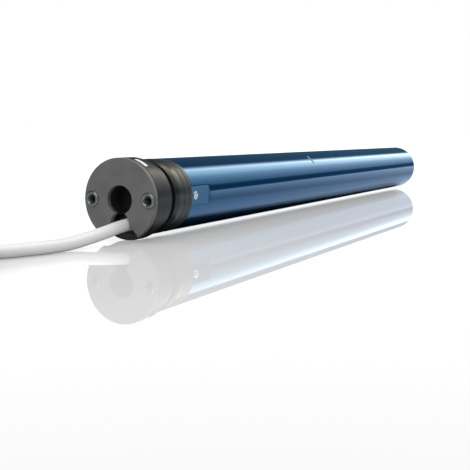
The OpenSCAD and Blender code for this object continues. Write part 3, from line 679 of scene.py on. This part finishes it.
# The slot is wider in the body than in the plate: its right side in mm, down past the rim
WIDE_SLOT = [(3.7, -7.76), (6.8, -11), (8.6, -16.5), (13, -20.5), (13, -26)]
WIDE_SLOT_END = 9 * MM
SOCKET = box_outline(8 * MM, -20.8 * MM, -9.5 * MM)
SOCKET_Y, SOCKET_END = 2.5 * MM, 20 * MM
KEYWAY = box_outline(3.2 * MM, -10 * MM, -6 * MM)
KEYWAY_Y = 2.6 * MM
WINDOW = box_outline(5.2 * MM, 9 * MM, 21 * MM)
WINDOW_Y, WINDOW_END = 31.8 * MM, 38 * MM
PINION_Z = 15 * MM
PINION_AXLE_R, AXLE_BORE_Y, AXLE_BORE_END = 1.3 * MM, 26 * MM, 34 * MM
PINION_HOLE_R, HOLE_START, HOLE_END = 1.9 * MM, 37 * MM, 49 * MM
CONTACT_PITCH, CONTACT_Z = 3 * MM, -11.5 * MM
CONTACT_SPOTS = (-1.5, -0.5, 0.5, 1.5)
CONTACT_HOLE_R = 1 * MM
CUT_FROM = 2 * MM                       # in front of the body, so that a cut opens its face
wide = [Vector(p) * MM for p in WIDE_SLOT]
cutters = [cutter_prism(circle(STUD_R, 72), CUT_FROM, STUD_BORE_END),
           cutter_prism([*wide, *mirrored(wide)], CUT_FROM, WIDE_SLOT_END),
           cutter_prism(SOCKET, SOCKET_Y, SOCKET_END),
           cutter_prism(KEYWAY, KEYWAY_Y, STUD_BORE_END)]
cutters += [cutter_prism(circle(SLEEVE_R, 72, (side * SLEEVE_X, 0)), CUT_FROM,
                         SLEEVE_BORE_END) for side in (-1, 1)]
cutters += [cutter_prism(WINDOW, WINDOW_Y, WINDOW_END),
            cutter_prism(circle(PINION_AXLE_R, 24, (0, PINION_Z)), AXLE_BORE_Y, AXLE_BORE_END),
            cutter_prism(circle(PINION_HOLE_R, 24, (0, PINION_Z)), HOLE_START, HOLE_END)]
cutters += [cutter_prism(circle(CONTACT_HOLE_R, 24, (k * CONTACT_PITCH, CONTACT_Z)),
                         SOCKET_END - 1 * MM, HOLLOW_Y + 1 * MM) for k in CONTACT_SPOTS]
for angle in BUTTON_ANGLES.values():
    half_y, half_z = WELL_HALF
    well = skin("cutter", [[(x, BUTTON_Y + y * half_y, z * half_z)
                            for y, z in ((-1, -1), (1, -1), (1, 1), (-1, 1))]
                           for x in (WELL_FLOOR, WELL_TOP)], caps=True, smooth=False)
    cutters.append(turned_to(well, angle))
carve(head_body, cutters)
dress(head_body, body_finish, stands_for=("head_body",))

# ---- Screw sleeves ----
# Zinc-plated steel, turned, with a cut M6 thread. They are pressed in from the front and hold
# the plate on.
sleeve_metal = Finish("dull_zinc_steel", (0.32, 0.32, 0.325), 0.40, 1.0)
sleeve_metal.surface(TURNED, mottle=0.35, unevenness=0.3, height=0.15)
SLEEVE_OUT = 0.8 * MM
SLEEVE_END = 12 * MM
THREAD_R, THREAD_OUTER, THREAD_PITCH = 2.65 * MM, 3 * MM, 1 * MM
THREAD_START, THREAD_END = -0.2 * MM, 11.4 * MM
ROWS_PER_TURN = 6


def threaded_hole(name, at, start, end, radius, pitch, outer):
    """The wall of a threaded hole: one helical groove that runs down to the outer radius."""
    rows = round((end - start) / pitch * ROWS_PER_TURN)
    rings = []
    for y in (start + (end - start) * j / rows for j in range(rows + 1)):
        ring = []
        for a in round_about(48):
            phase = ((y - start) / pitch + a / (2 * math.pi)) % 1
            r = radius + (outer - radius) * (1 - abs(2 * phase - 1))
            ring.append((at[0] + r * math.cos(a), y, at[1] + r * math.sin(a)))
        rings.append(ring)
    return skin(name, rings)


for side, label in ((-1, "left"), (1, "right")):
    centre = (side * SLEEVE_X, 0)
    fit_r, relief_r = SLEEVE_R - 0.02 * MM, THREAD_R + 0.35 * MM
    shell = lathe(f"screw_sleeve_{label}", rounded([
        (THREAD_R + 0.5 * MM, -SLEEVE_OUT), (SLEEVE_R - 0.5 * MM, -SLEEVE_OUT),
        (fit_r, 0.5 * MM - SLEEVE_OUT), (fit_r, SLEEVE_END), (3.05 * MM, SLEEVE_END),
        (THREAD_R, THREAD_END), (relief_r, THREAD_END - 0.1 * MM), (relief_r, 0),
        (THREAD_R, THREAD_START)], 0.15 * MM), 72, centre)
    wall = threaded_hole("thread", centre, THREAD_START, THREAD_END, THREAD_R, THREAD_PITCH,
                         THREAD_OUTER)
    dress(join(shell, [wall]), sleeve_metal, stands_for=("sleeves",))

# ---- Limit buttons ----
# Two moulded push buttons in the head's rim, white for one end limit and yellow for the other.
# Their tops follow the rim, and their edges are rounded.
BUTTON_LOW_R = 20.5 * MM
BUTTON_TOP_R = HEAD_R + 0.2 * MM
BUTTON_HALF_Y, BUTTON_HALF_Z = 1.7 * MM, 4.3 * MM
BUTTON_COLOURS = {"white": (0.86, 0.86, 0.84), "yellow": (0.80, 0.52, 0.03)}
TOP_STEPS = 16
for label, colour in BUTTON_COLOURS.items():
    across = [BUTTON_HALF_Z * (2 * k / TOP_STEPS - 1) for k in range(TOP_STEPS + 1)]
    outline = [(BUTTON_LOW_R, -BUTTON_HALF_Z),
               *[(math.sqrt(BUTTON_TOP_R ** 2 - z * z), z) for z in across],
               (BUTTON_LOW_R, BUTTON_HALF_Z)]
    button = skin(f"limit_button_{label}", [[(x, BUTTON_Y + y, z) for x, z in outline]
                                            for y in (-BUTTON_HALF_Y, BUTTON_HALF_Y)], caps=True)
    turned_to(button, BUTTON_ANGLES[label])
    rim = button.modifiers.new("rounded_edges", "BEVEL")
    rim.width = 0.4 * MM
    rim.segments = 3
    rim.limit_method = "ANGLE"
    rim.angle_limit = math.radians(40)
    finish = Finish(f"{label}_button_plastic", colour, 0.33)
    finish.set(subsurface_weight=0.1, coat_weight=0.2)
    finish.surface(MOULDED, mottle=0.05, unevenness=0.15, height=0.03)
    dress(soften(button, 50), finish, f"{label}_button",
          (f"button_{label}",))

# ---- Button springs ----
# One small coil of steel wire under each button.
spring_steel = Finish("drawn_spring_wire", (0.50, 0.50, 0.52), 0.26, 1.0)
spring_steel.surface(MOULDED, scale=2.0, mottle=0.2, unevenness=0.2, height=0.1)
SPRING_R, SPRING_WIRE_R, SPRING_TURNS = 1.3 * MM, 0.28 * MM, 2.5
SPRING_LEN = 3.4 * MM
STEPS_PER_TURN = 32
FLAT_SHARE = 0.15                       # of the rise that eases in and out at the coil's ends


def coil_spring(name, radius, wire, length, turns):
    """A coil of round wire that stands on the origin along +Y, its end turns flattened."""
    line = []
    for k in range(round(turns * STEPS_PER_TURN) + 1):
        turn = k / STEPS_PER_TURN
        rise = ease(turn / turns) * FLAT_SHARE + turn / turns * (1 - FLAT_SHARE)
        a = 2 * math.pi * turn
        line.append(Vector((radius * math.cos(a), wire + (length - 2 * wire) * rise,
                            radius * math.sin(a))))
    rings = []
    for k, place in enumerate(line):
        ahead = (line[min(k + 1, len(line) - 1)] - line[max(k - 1, 0)]).normalized()
        out = Vector((place.x, 0, place.z)).normalized()
        out = (out - ahead * out.dot(ahead)).normalized()
        side = ahead.cross(out)
        rings.append([place + (out * math.cos(a) + side * math.sin(a)) * wire
                      for a in round_about(10)])
    return soften(skin(name, rings, caps=True), 50)


for label, angle in BUTTON_ANGLES.items():
    spring = coil_spring(f"button_spring_{label}", SPRING_R, SPRING_WIRE_R, SPRING_LEN,
                         SPRING_TURNS)
    spring.data.transform(Matrix.Translation((WELL_FLOOR, BUTTON_Y, 0))
                          @ Matrix.Rotation(-math.pi / 2, 4, "Z"))
    dress(turned_to(spring, angle), spring_steel,
          stands_for=("button_springs",))
    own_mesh(spring)

# ---- Cable plug ----
# Black moulded block pushed into the head's socket. A short collar grips the cable, and a
# latch rib on its face is what a screwdriver lifts to free it. Four contacts stand out behind.
plug_low, plug_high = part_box("cable_plug")
plug_finish = Finish("black_satin_plastic", (0.012, 0.012, 0.013), 0.4)
plug_finish.surface(MOULDED, mottle=0.4, unevenness=0.25, height=0.25)
PLUG_Y, PLUG_END = 9.5 * MM, 18.9 * MM
PLUG_TOP = -9.7 * MM
GRIP_X, GRIP_Z = 3.7 * MM, -14.5 * MM   # where the cable enters
GRIP_R = 5.1 * MM
GRIP_Y, GRIP_END = 7.6 * MM, 9.8 * MM
RIB_Y, RIB_END = 8.7 * MM, 9.7 * MM
RIB = [(-6.8, -18.6), (-2.2, -18.6), (-2.2, -11), (-6.8, -11)]
CONTACT_R = 0.8 * MM
CONTACT_Y, CONTACT_END = 14 * MM, 26 * MM
outline = [(plug_low.x, plug_low.z), (plug_high.x, plug_low.z), (plug_high.x, PLUG_TOP),
           (plug_low.x, PLUG_TOP)]
block = moulding("plug_block", [rounded(outline, 1.2 * MM, 6)], PLUG_Y, PLUG_END, 0.3 * MM)
collar = lathe("collar", rounded([(CABLE_R, GRIP_Y), (GRIP_R, GRIP_Y), (GRIP_R, GRIP_END),
                                  (CABLE_R, GRIP_END)], 0.5 * MM), 64, (GRIP_X, GRIP_Z))
rib = moulding("rib", [rounded([Vector(p) * MM for p in RIB], 0.8 * MM)], RIB_Y, RIB_END,
               0.25 * MM)
dress(join(block, [collar, rib]), plug_finish,
      stands_for=("cable_plug",))
pin = rounded([(0, CONTACT_Y), (CONTACT_R, CONTACT_Y), (CONTACT_R, CONTACT_END),
               (0, CONTACT_END)], 0.3 * MM)
contacts = [lathe("plug_contacts", pin, 24, (k * CONTACT_PITCH, CONTACT_Z))
            for k in CONTACT_SPOTS]
dress(join(contacts[0], contacts[1:]), ferrule_metal,
      stands_for=("cable_plug",))

# ---- Crown seal and crown ----
# A rubber lip ring lies in the groove behind the neck. The crown turns with the roller on the
# head's journal: a black moulded ring with a chamfered front edge.
rubber = Finish("seal_rubber", (0.010, 0.010, 0.011), 0.7)
rubber.surface(MOULDED, scale=1.4, mottle=0.5, unevenness=0.2, height=0.5)
SEAL_Y, SEAL_MIDDLE, SEAL_END = 22.6 * MM, 24 * MM, 25.6 * MM
LIP_R, WAIST_R = 20.8 * MM, 20.2 * MM
seal = lathe("lip_seal", rounded([
    (JOURNAL_R, SEAL_Y), (LIP_R, SEAL_Y), (WAIST_R, SEAL_MIDDLE), (LIP_R, SEAL_END),
    (JOURNAL_R, SEAL_END)], 0.4 * MM))
dress(seal, rubber, stands_for=("crown_seal",))

crown_low, crown_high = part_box("crown_ring")
CROWN_R = crown_high.x
CROWN_BORE = JOURNAL_R + 0.04 * MM
crown_finish = Finish("satin_black_plastic", (0.014, 0.014, 0.014), 0.30)
crown_finish.set(coat_weight=0.15, coat_roughness=0.2)
crown_finish.surface(MOULDED, scale=0.8, mottle=0.3, unevenness=0.2, height=0.12)
# The crown steps up to its full radius behind a short cone, and its inside is stepped: a bore
# on the journal, room for the teeth, and a wider mouth
CONE_END = 2.4 * MM
STEP_Y, STEP = 3.1 * MM, 0.2 * MM
TEETH_Y, MOUTH_Y = 33.2 * MM, 36.8 * MM
TEETH_ROOT_R, MOUTH_R = 18.2 * MM, 19.9 * MM
crown = lathe("crown", rounded([
    (CROWN_BORE, crown_low.y), (CROWN_R - 1.1 * MM, crown_low.y),
    (CROWN_R - STEP, crown_low.y + CONE_END), (CROWN_R - STEP, crown_low.y + STEP_Y - STEP / 2),
    (CROWN_R, crown_low.y + STEP_Y + STEP / 2), (CROWN_R, crown_high.y - 0.9 * MM),
    (CROWN_R - 0.5 * MM, crown_high.y), (MOUTH_R, crown_high.y), (MOUTH_R, MOUTH_Y),
    (TEETH_ROOT_R, MOUTH_Y), (TEETH_ROOT_R, TEETH_Y), (CROWN_BORE, TEETH_Y)],
    0.25 * MM), 192)
# Fifty inner teeth turn the limit switches' pinion
TEETH = 50
MODULE = 0.75 * MM
PRESSURE = math.radians(20)
TOOTH_PLAY = 0.06 * MM
PITCH_R = TEETH * MODULE / 2
BASE_R = PITCH_R * math.cos(PRESSURE)
GAP_LOW, GAP_HIGH = PITCH_R - 0.5 * MODULE, PITCH_R + 1.25 * MODULE
FLANK_STEPS = 3


def flank(radius):
    """Half of the gap between two teeth at a radius, as an angle, for involute teeth."""
    def involute(pressure):
        return math.tan(pressure) - pressure

    half = math.pi / 2 / TEETH + TOOTH_PLAY / PITCH_R
    return half + involute(PRESSURE) - involute(math.acos(min(1, BASE_R / radius)))


def stretch(start, end, count):
    """Evenly spaced values from start to end."""
    return [start + (end - start) * k / count for k in range(count + 1)]


gaps = []
for tooth in range(TEETH):
    middle = 2 * math.pi * (tooth + 0.5) / TEETH
    heights = stretch(GAP_LOW, GAP_HIGH, FLANK_STEPS)
    points = [(r, middle - flank(r)) for r in heights]
    points += [(r, middle + flank(r)) for r in reversed(heights)]
    gaps += [(r * math.cos(a), r * math.sin(a)) for r, a in points]
carve(crown, [cutter_prism(gaps, SPIGOT_Y + 0.2 * MM, 40 * MM)])
dress(crown, crown_finish, "crown", ("crown_ring",))

# ---- Retaining collar ----
# Fixed ring that keeps the crown in place and closes the tube. Its rear third is a raised rim.
collar_low, collar_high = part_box("retaining_collar")
COLLAR_R = collar_high.x
TUBE_Y = 46.4 * MM
collar_finish = Finish("collar_plastic", (0.028, 0.028, 0.028), 0.32)
collar_finish.surface(MOULDED, scale=0.8, mottle=0.3, unevenness=0.2, height=0.12)
RIM_Y, RIM_STEP = TUBE_Y - 3.2 * MM, 0.25 * MM
COLLAR_END = TUBE_Y - 0.1 * MM
INSERT_R = 21.3 * MM                    # the part of the collar that goes into the tube
ring = lathe("retaining_ring", rounded([
    (SPIGOT_R, collar_low.y), (COLLAR_R - 0.6 * MM, collar_low.y),
    (COLLAR_R - RIM_STEP, collar_low.y + 0.5 * MM), (COLLAR_R - RIM_STEP, RIM_Y - 0.3 * MM),
    (COLLAR_R, RIM_Y), (COLLAR_R, COLLAR_END), (INSERT_R, COLLAR_END),
    (INSERT_R, collar_high.y), (SPIGOT_R, collar_high.y)], 0.2 * MM), 192)
dress(ring, collar_finish, stands_for=("retaining_collar",))

# ---- Tube ----
# Steel tube with a blue lacquer over its drawn surface. It is pressed flat round its two
# screws, and three crimps further along hold the motor inside it.
tube_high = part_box("tube")[1]
TUBE_R, TUBE_END = tube_high.x, tube_high.y
BORE_R = TUBE_R - 1.2 * MM
FLAT_X, FLAT_IN_X, FLAT_END = 22.55 * MM, 21.45 * MM, 70 * MM
FLAT_BLEND = 4 * MM                     # over which the flats run out into the round
CRIMP_Y, CRIMP_ANGLE, CRIMP_DEPTH = 267.25 * MM, 47, 0.5 * MM
CRIMP_APART = 120
CRIMP_HALF, CRIMP_BLEND = 0.8 * MM, 0.9 * MM


def tube_radius(radius, angle, y):
    """Where the wall lies once the flats and the crimps are pressed into the round tube."""
    share = (radius - BORE_R) / (TUBE_R - BORE_R)
    flat = (FLAT_IN_X + (FLAT_X - FLAT_IN_X) * share) / max(0.9, abs(math.cos(angle)))
    pressed = 1 - ease((y - FLAT_END) / FLAT_BLEND + 0.5)
    depth = max(0, radius - flat) * pressed
    beside = (math.degrees(angle) - CRIMP_ANGLE + CRIMP_APART / 2) % CRIMP_APART
    off = math.radians(beside - CRIMP_APART / 2)
    chord = (TUBE_R - CRIMP_DEPTH) / math.cos(off)
    along = 1 - ease((abs(y - CRIMP_Y) - CRIMP_HALF) / CRIMP_BLEND)
    depth += max(0, TUBE_R - chord) * along * share
    return radius - depth


# Rows of points along the tube, close together where it is pressed, and its rolled-in edges
EDGE_NEAR, EDGE_FAR = 0.2 * MM, 0.5 * MM
EDGE_IN, EDGE_FACE = 0.06 * MM, 0.3 * MM
rows = [TUBE_Y + EDGE_FAR, *stretch(TUBE_Y + 1.5 * MM, 66 * MM, 10),
        *stretch(66.5 * MM, 73.5 * MM, 28), *stretch(76 * MM, 264 * MM, 12),
        *stretch(265 * MM, 269.5 * MM, 24), *stretch(275 * MM, TUBE_END - 2 * MM, 16),
        TUBE_END - EDGE_FAR]
inner_rows = [TUBE_Y + EDGE_FAR, 56 * MM, *stretch(66.5 * MM, 73.5 * MM, 10),
              TUBE_END - EDGE_FAR]
profile = [*[(TUBE_R, y) for y in rows],
           (TUBE_R - EDGE_IN, TUBE_END - EDGE_NEAR), (TUBE_R - EDGE_FACE, TUBE_END),
           (BORE_R + EDGE_FACE, TUBE_END), (BORE_R + EDGE_IN, TUBE_END - EDGE_NEAR),
           *[(BORE_R, y) for y in reversed(inner_rows)],
           (BORE_R + EDGE_IN, TUBE_Y + EDGE_NEAR), (BORE_R + EDGE_FACE, TUBE_Y),
           (TUBE_R - EDGE_FACE, TUBE_Y), (TUBE_R - EDGE_IN, TUBE_Y + EDGE_NEAR)]
rings = []
for a in round_about(360):
    places = [(tube_radius(radius, a, y), y) for radius, y in profile]
    rings.append([(r * math.cos(a), y, r * math.sin(a)) for r, y in places])
tube = soften(skin("motor_tube", rings, closed=True), 50)
tube_finish = Finish("blue_lacquered_steel", (0.002, 0.115, 0.24), 0.13, 1.0)
tube_finish.set(coat_weight=1.0, coat_roughness=0.04, coat_ior=1.4,
                specular_tint=(0.1, 0.6, 1.0, 1.0))
tube_finish.surface(DRAWN, scale=1.0, mottle=0.35, unevenness=0.10, height=0.05)
dress(tube, tube_finish, stands_for=("tube",))

# ---- Tube's screws ----
# Two zinc-plated pan-head screws with a cross recess, in the flats. They hold the head in the
# tube.
screw_metal = Finish("bright_zinc_steel", (0.92, 0.93, 0.94), 0.22, 1.0)
screw_metal.surface(MOULDED, scale=2.0, mottle=0.2, unevenness=0.3, height=0.1)
SCREW_Y = 51.5 * MM
SCREW_R, SCREW_LEN = 1.5 * MM, 7 * MM
TIP_R, TIP_LEN = 0.9 * MM, 1 * MM
PAN_R, PAN_H = 2.6 * MM, 0.8 * MM
RECESS_LONG, RECESS_THIN = 1.5 * MM, 0.28 * MM
RECESS_FLOOR = 0.3 * MM
for angle, label in ((0, "right"), (180, "left")):
    dome = [(PAN_R * math.sin(math.radians(a)) ** 0.8,
             PAN_H * (0.35 + 0.65 * math.cos(math.radians(a)) ** 0.7)) for a in range(0, 91, 10)]
    screw = lathe(f"tube_screw_{label}", [
        (0, -SCREW_LEN), (TIP_R, -SCREW_LEN), (SCREW_R, TIP_LEN - SCREW_LEN), (SCREW_R, 0),
        (PAN_R, 0), *reversed(dome)], 64)
    carve(screw, [cutter_prism(box_outline(half_x, -half_z, half_z), RECESS_FLOOR, 1 * MM)
                  for half_x, half_z in ((RECESS_LONG, RECESS_THIN),
                                         (RECESS_THIN, RECESS_LONG))])
    screw.data.transform(Matrix.Translation((FLAT_X, SCREW_Y, 0))
                         @ Matrix.Rotation(-math.pi / 2, 4, "Z"))
    dress(turned_to(screw, angle), screw_metal, stands_for=("tube_screws",))

# ---- Output end ----
# A black cap closes the tube and carries the bronze bush. The steel shaft turns in it: a
# ground pin with a groove for the drive wheel's clip and a threaded hole in its end.
cap_low, cap_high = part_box("end_cap")
CAP_FACE = cap_high.y
CAP_FIT_R, CAP_RIM_R = 22.1 * MM, 23.2 * MM
CAP_BORE_R, BUSH_R, BUSH_Y = 17.2 * MM, 9 * MM, 571 * MM
DISH_DEPTH = 0.7 * MM                   # of the sunk ring in the cap's face
RIM_FRONT = TUBE_END + 0.02 * MM
cap = lathe("tube_end_cap", rounded([
    (CAP_BORE_R, cap_low.y), (CAP_FIT_R, cap_low.y), (CAP_FIT_R, RIM_FRONT),
    (CAP_RIM_R, RIM_FRONT), (CAP_RIM_R, CAP_FACE), (20.5 * MM, CAP_FACE),
    (19.8 * MM, CAP_FACE - DISH_DEPTH), (12.2 * MM, CAP_FACE - DISH_DEPTH),
    (11.5 * MM, CAP_FACE), (BUSH_R, CAP_FACE), (BUSH_R, BUSH_Y), (CAP_BORE_R, BUSH_Y)],
    0.3 * MM), 192)
dress(cap, collar_finish, stands_for=("end_cap",))

shaft_low, shaft_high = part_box("output_shaft")
SHAFT_END = shaft_high.y
PIN_Y, PIN_R, PIN_EDGE = 584.2 * MM, 6 * MM, 0.8 * MM
SHAFT_JOURNAL_R = 6.5 * MM
GROOVE_Y, GROOVE_W, GROOVE_DEPTH = 599.6 * MM, 1.1 * MM, 0.5 * MM
TAP_R, TAP_PITCH, TAP_DEPTH = 2.1 * MM, 0.8 * MM, 0.38 * MM
TAP_RELIEF_R, TAP_EDGE = TAP_R + 0.4 * MM, 0.6 * MM
HOLE_Y = SHAFT_END - 14 * MM
HUB_R, HUB_END = 5 * MM, shaft_low.y + 9 * MM
shaft = lathe("output_pin", [
    (0, shaft_low.y), (HUB_R, shaft_low.y), (HUB_R, HUB_END), (SHAFT_JOURNAL_R, HUB_END),
    (SHAFT_JOURNAL_R, PIN_Y), (PIN_R, PIN_Y), (PIN_R, GROOVE_Y),
    (PIN_R - GROOVE_DEPTH, GROOVE_Y), (PIN_R - GROOVE_DEPTH, GROOVE_Y + GROOVE_W),
    (PIN_R, GROOVE_Y + GROOVE_W), (PIN_R, SHAFT_END - PIN_EDGE), (PIN_R - PIN_EDGE, SHAFT_END),
    (TAP_R + TAP_EDGE, SHAFT_END), (TAP_R, SHAFT_END - TAP_EDGE),
    (TAP_RELIEF_R, SHAFT_END - TAP_EDGE - 0.1 * MM), (TAP_RELIEF_R, HOLE_Y), (0, HOLE_Y)], 128)
bore = threaded_hole("thread", (0, 0), HOLE_Y, SHAFT_END - TAP_EDGE, TAP_R, TAP_PITCH,
                     TAP_R + TAP_DEPTH)
ground_steel = Finish("ground_steel", (0.56, 0.56, 0.57), 0.22, 1.0)
ground_steel.surface(TURNED, mottle=0.15, unevenness=0.25, height=0.15)
dress(join(shaft, [bore]), ground_steel, "output", ("output_shaft",))

# ---- Inner parts ----
# The limit switches, the motor, its brake and the gearbox lie closed in the tube. They keep the
# frame's shapes, and each takes the finish of its material. Only the brake's spring is wound anew.
INNER = [
    ("cold_drawn_steel", (0.50, 0.50, 0.52), 0.26, 1.0, TURNED,
     ["rotor_shaft", "gear_pins"]),
    ("glass_filled_nylon", (0.52, 0.51, 0.48), 0.5, 0.0, MOULDED,
     ["limit_frame", "capacitor_cradle"]),
    ("acetal", (0.80, 0.79, 0.74), 0.38, 0.0, MOULDED,
     ["limit_pinion", "count_gear_1", "count_gear_2", "count_gear_3", "cam_wheel"]),
    ("red_acetal", (0.45, 0.05, 0.04), 0.38, 0.0, MOULDED, ["limit_cams"]),
    ("black_phenolic", (0.02, 0.02, 0.022), 0.35, 0.0, MOULDED, ["microswitches"]),
    ("capacitor_sleeve", (0.70, 0.70, 0.68), 0.3, 0.0, MOULDED, ["capacitor"]),
    ("lead_sheath", (0.12, 0.12, 0.13), 0.45, 0.0, MOULDED, ["inner_leads"]),
    ("die_cast_aluminium", (0.60, 0.60, 0.61), 0.42, 1.0, MOULDED,
     ["front_shield", "rear_shield"]),
    ("bearing_steel", (0.62, 0.62, 0.64), 0.18, 1.0, TURNED, ["front_bearing", "rear_bearing"]),
    ("stacked_sheet", (0.30, 0.30, 0.32), 0.42, 1.0, TURNED, ["stator_core", "rotor_core"]),
    ("enamelled_copper", (0.72, 0.30, 0.12), 0.3, 1.0, DRAWN, ["windings", "brake_coil"]),
    ("machined_steel", (0.42, 0.42, 0.43), 0.32, 1.0, TURNED,
     ["brake_yoke", "brake_armature", "brake_plate", "sun_gear", "gear_housing", "carrier_1",
      "carrier_2", "carrier_3"]),
    ("brake_lining", (0.10, 0.085, 0.07), 0.8, 0.0, MOULDED, ["brake_disc"]),
    ("sintered_bronze", (0.62, 0.42, 0.20), 0.42, 1.0, MOULDED, ["output_bush"]),
    ("gear_nylon", (0.76, 0.75, 0.70), 0.4, 0.0, MOULDED,
     [f"planet_{stage}_{k}" for stage in (1, 2, 3) for k in (1, 2, 3)]),
]
spring_low, spring_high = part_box("brake_spring")
spring_len = spring_high.y - spring_low.y
BRAKE_SPRING_R, BRAKE_WIRE_R, BRAKE_SPRING_TURNS = 7.4 * MM, 0.55 * MM, 6
spring = coil_spring("brake_coil_spring", BRAKE_SPRING_R, BRAKE_WIRE_R, spring_len,
                     BRAKE_SPRING_TURNS)
spring.data.transform(Matrix.Translation((0, spring_low.y, 0)))
dress(spring, spring_steel, stands_for=("brake_spring",))
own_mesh(spring)

for label, colour, roughness, metallic, group, names in INNER:
    finish = Finish(label, colour, roughness, metallic)
    finish.surface(group, scale=0.7, mottle=0.3, unevenness=0.25, height=0.15)
    for name in names:
        nodes[name].data.materials.clear()
        nodes[name].data.materials.append(finish.material)
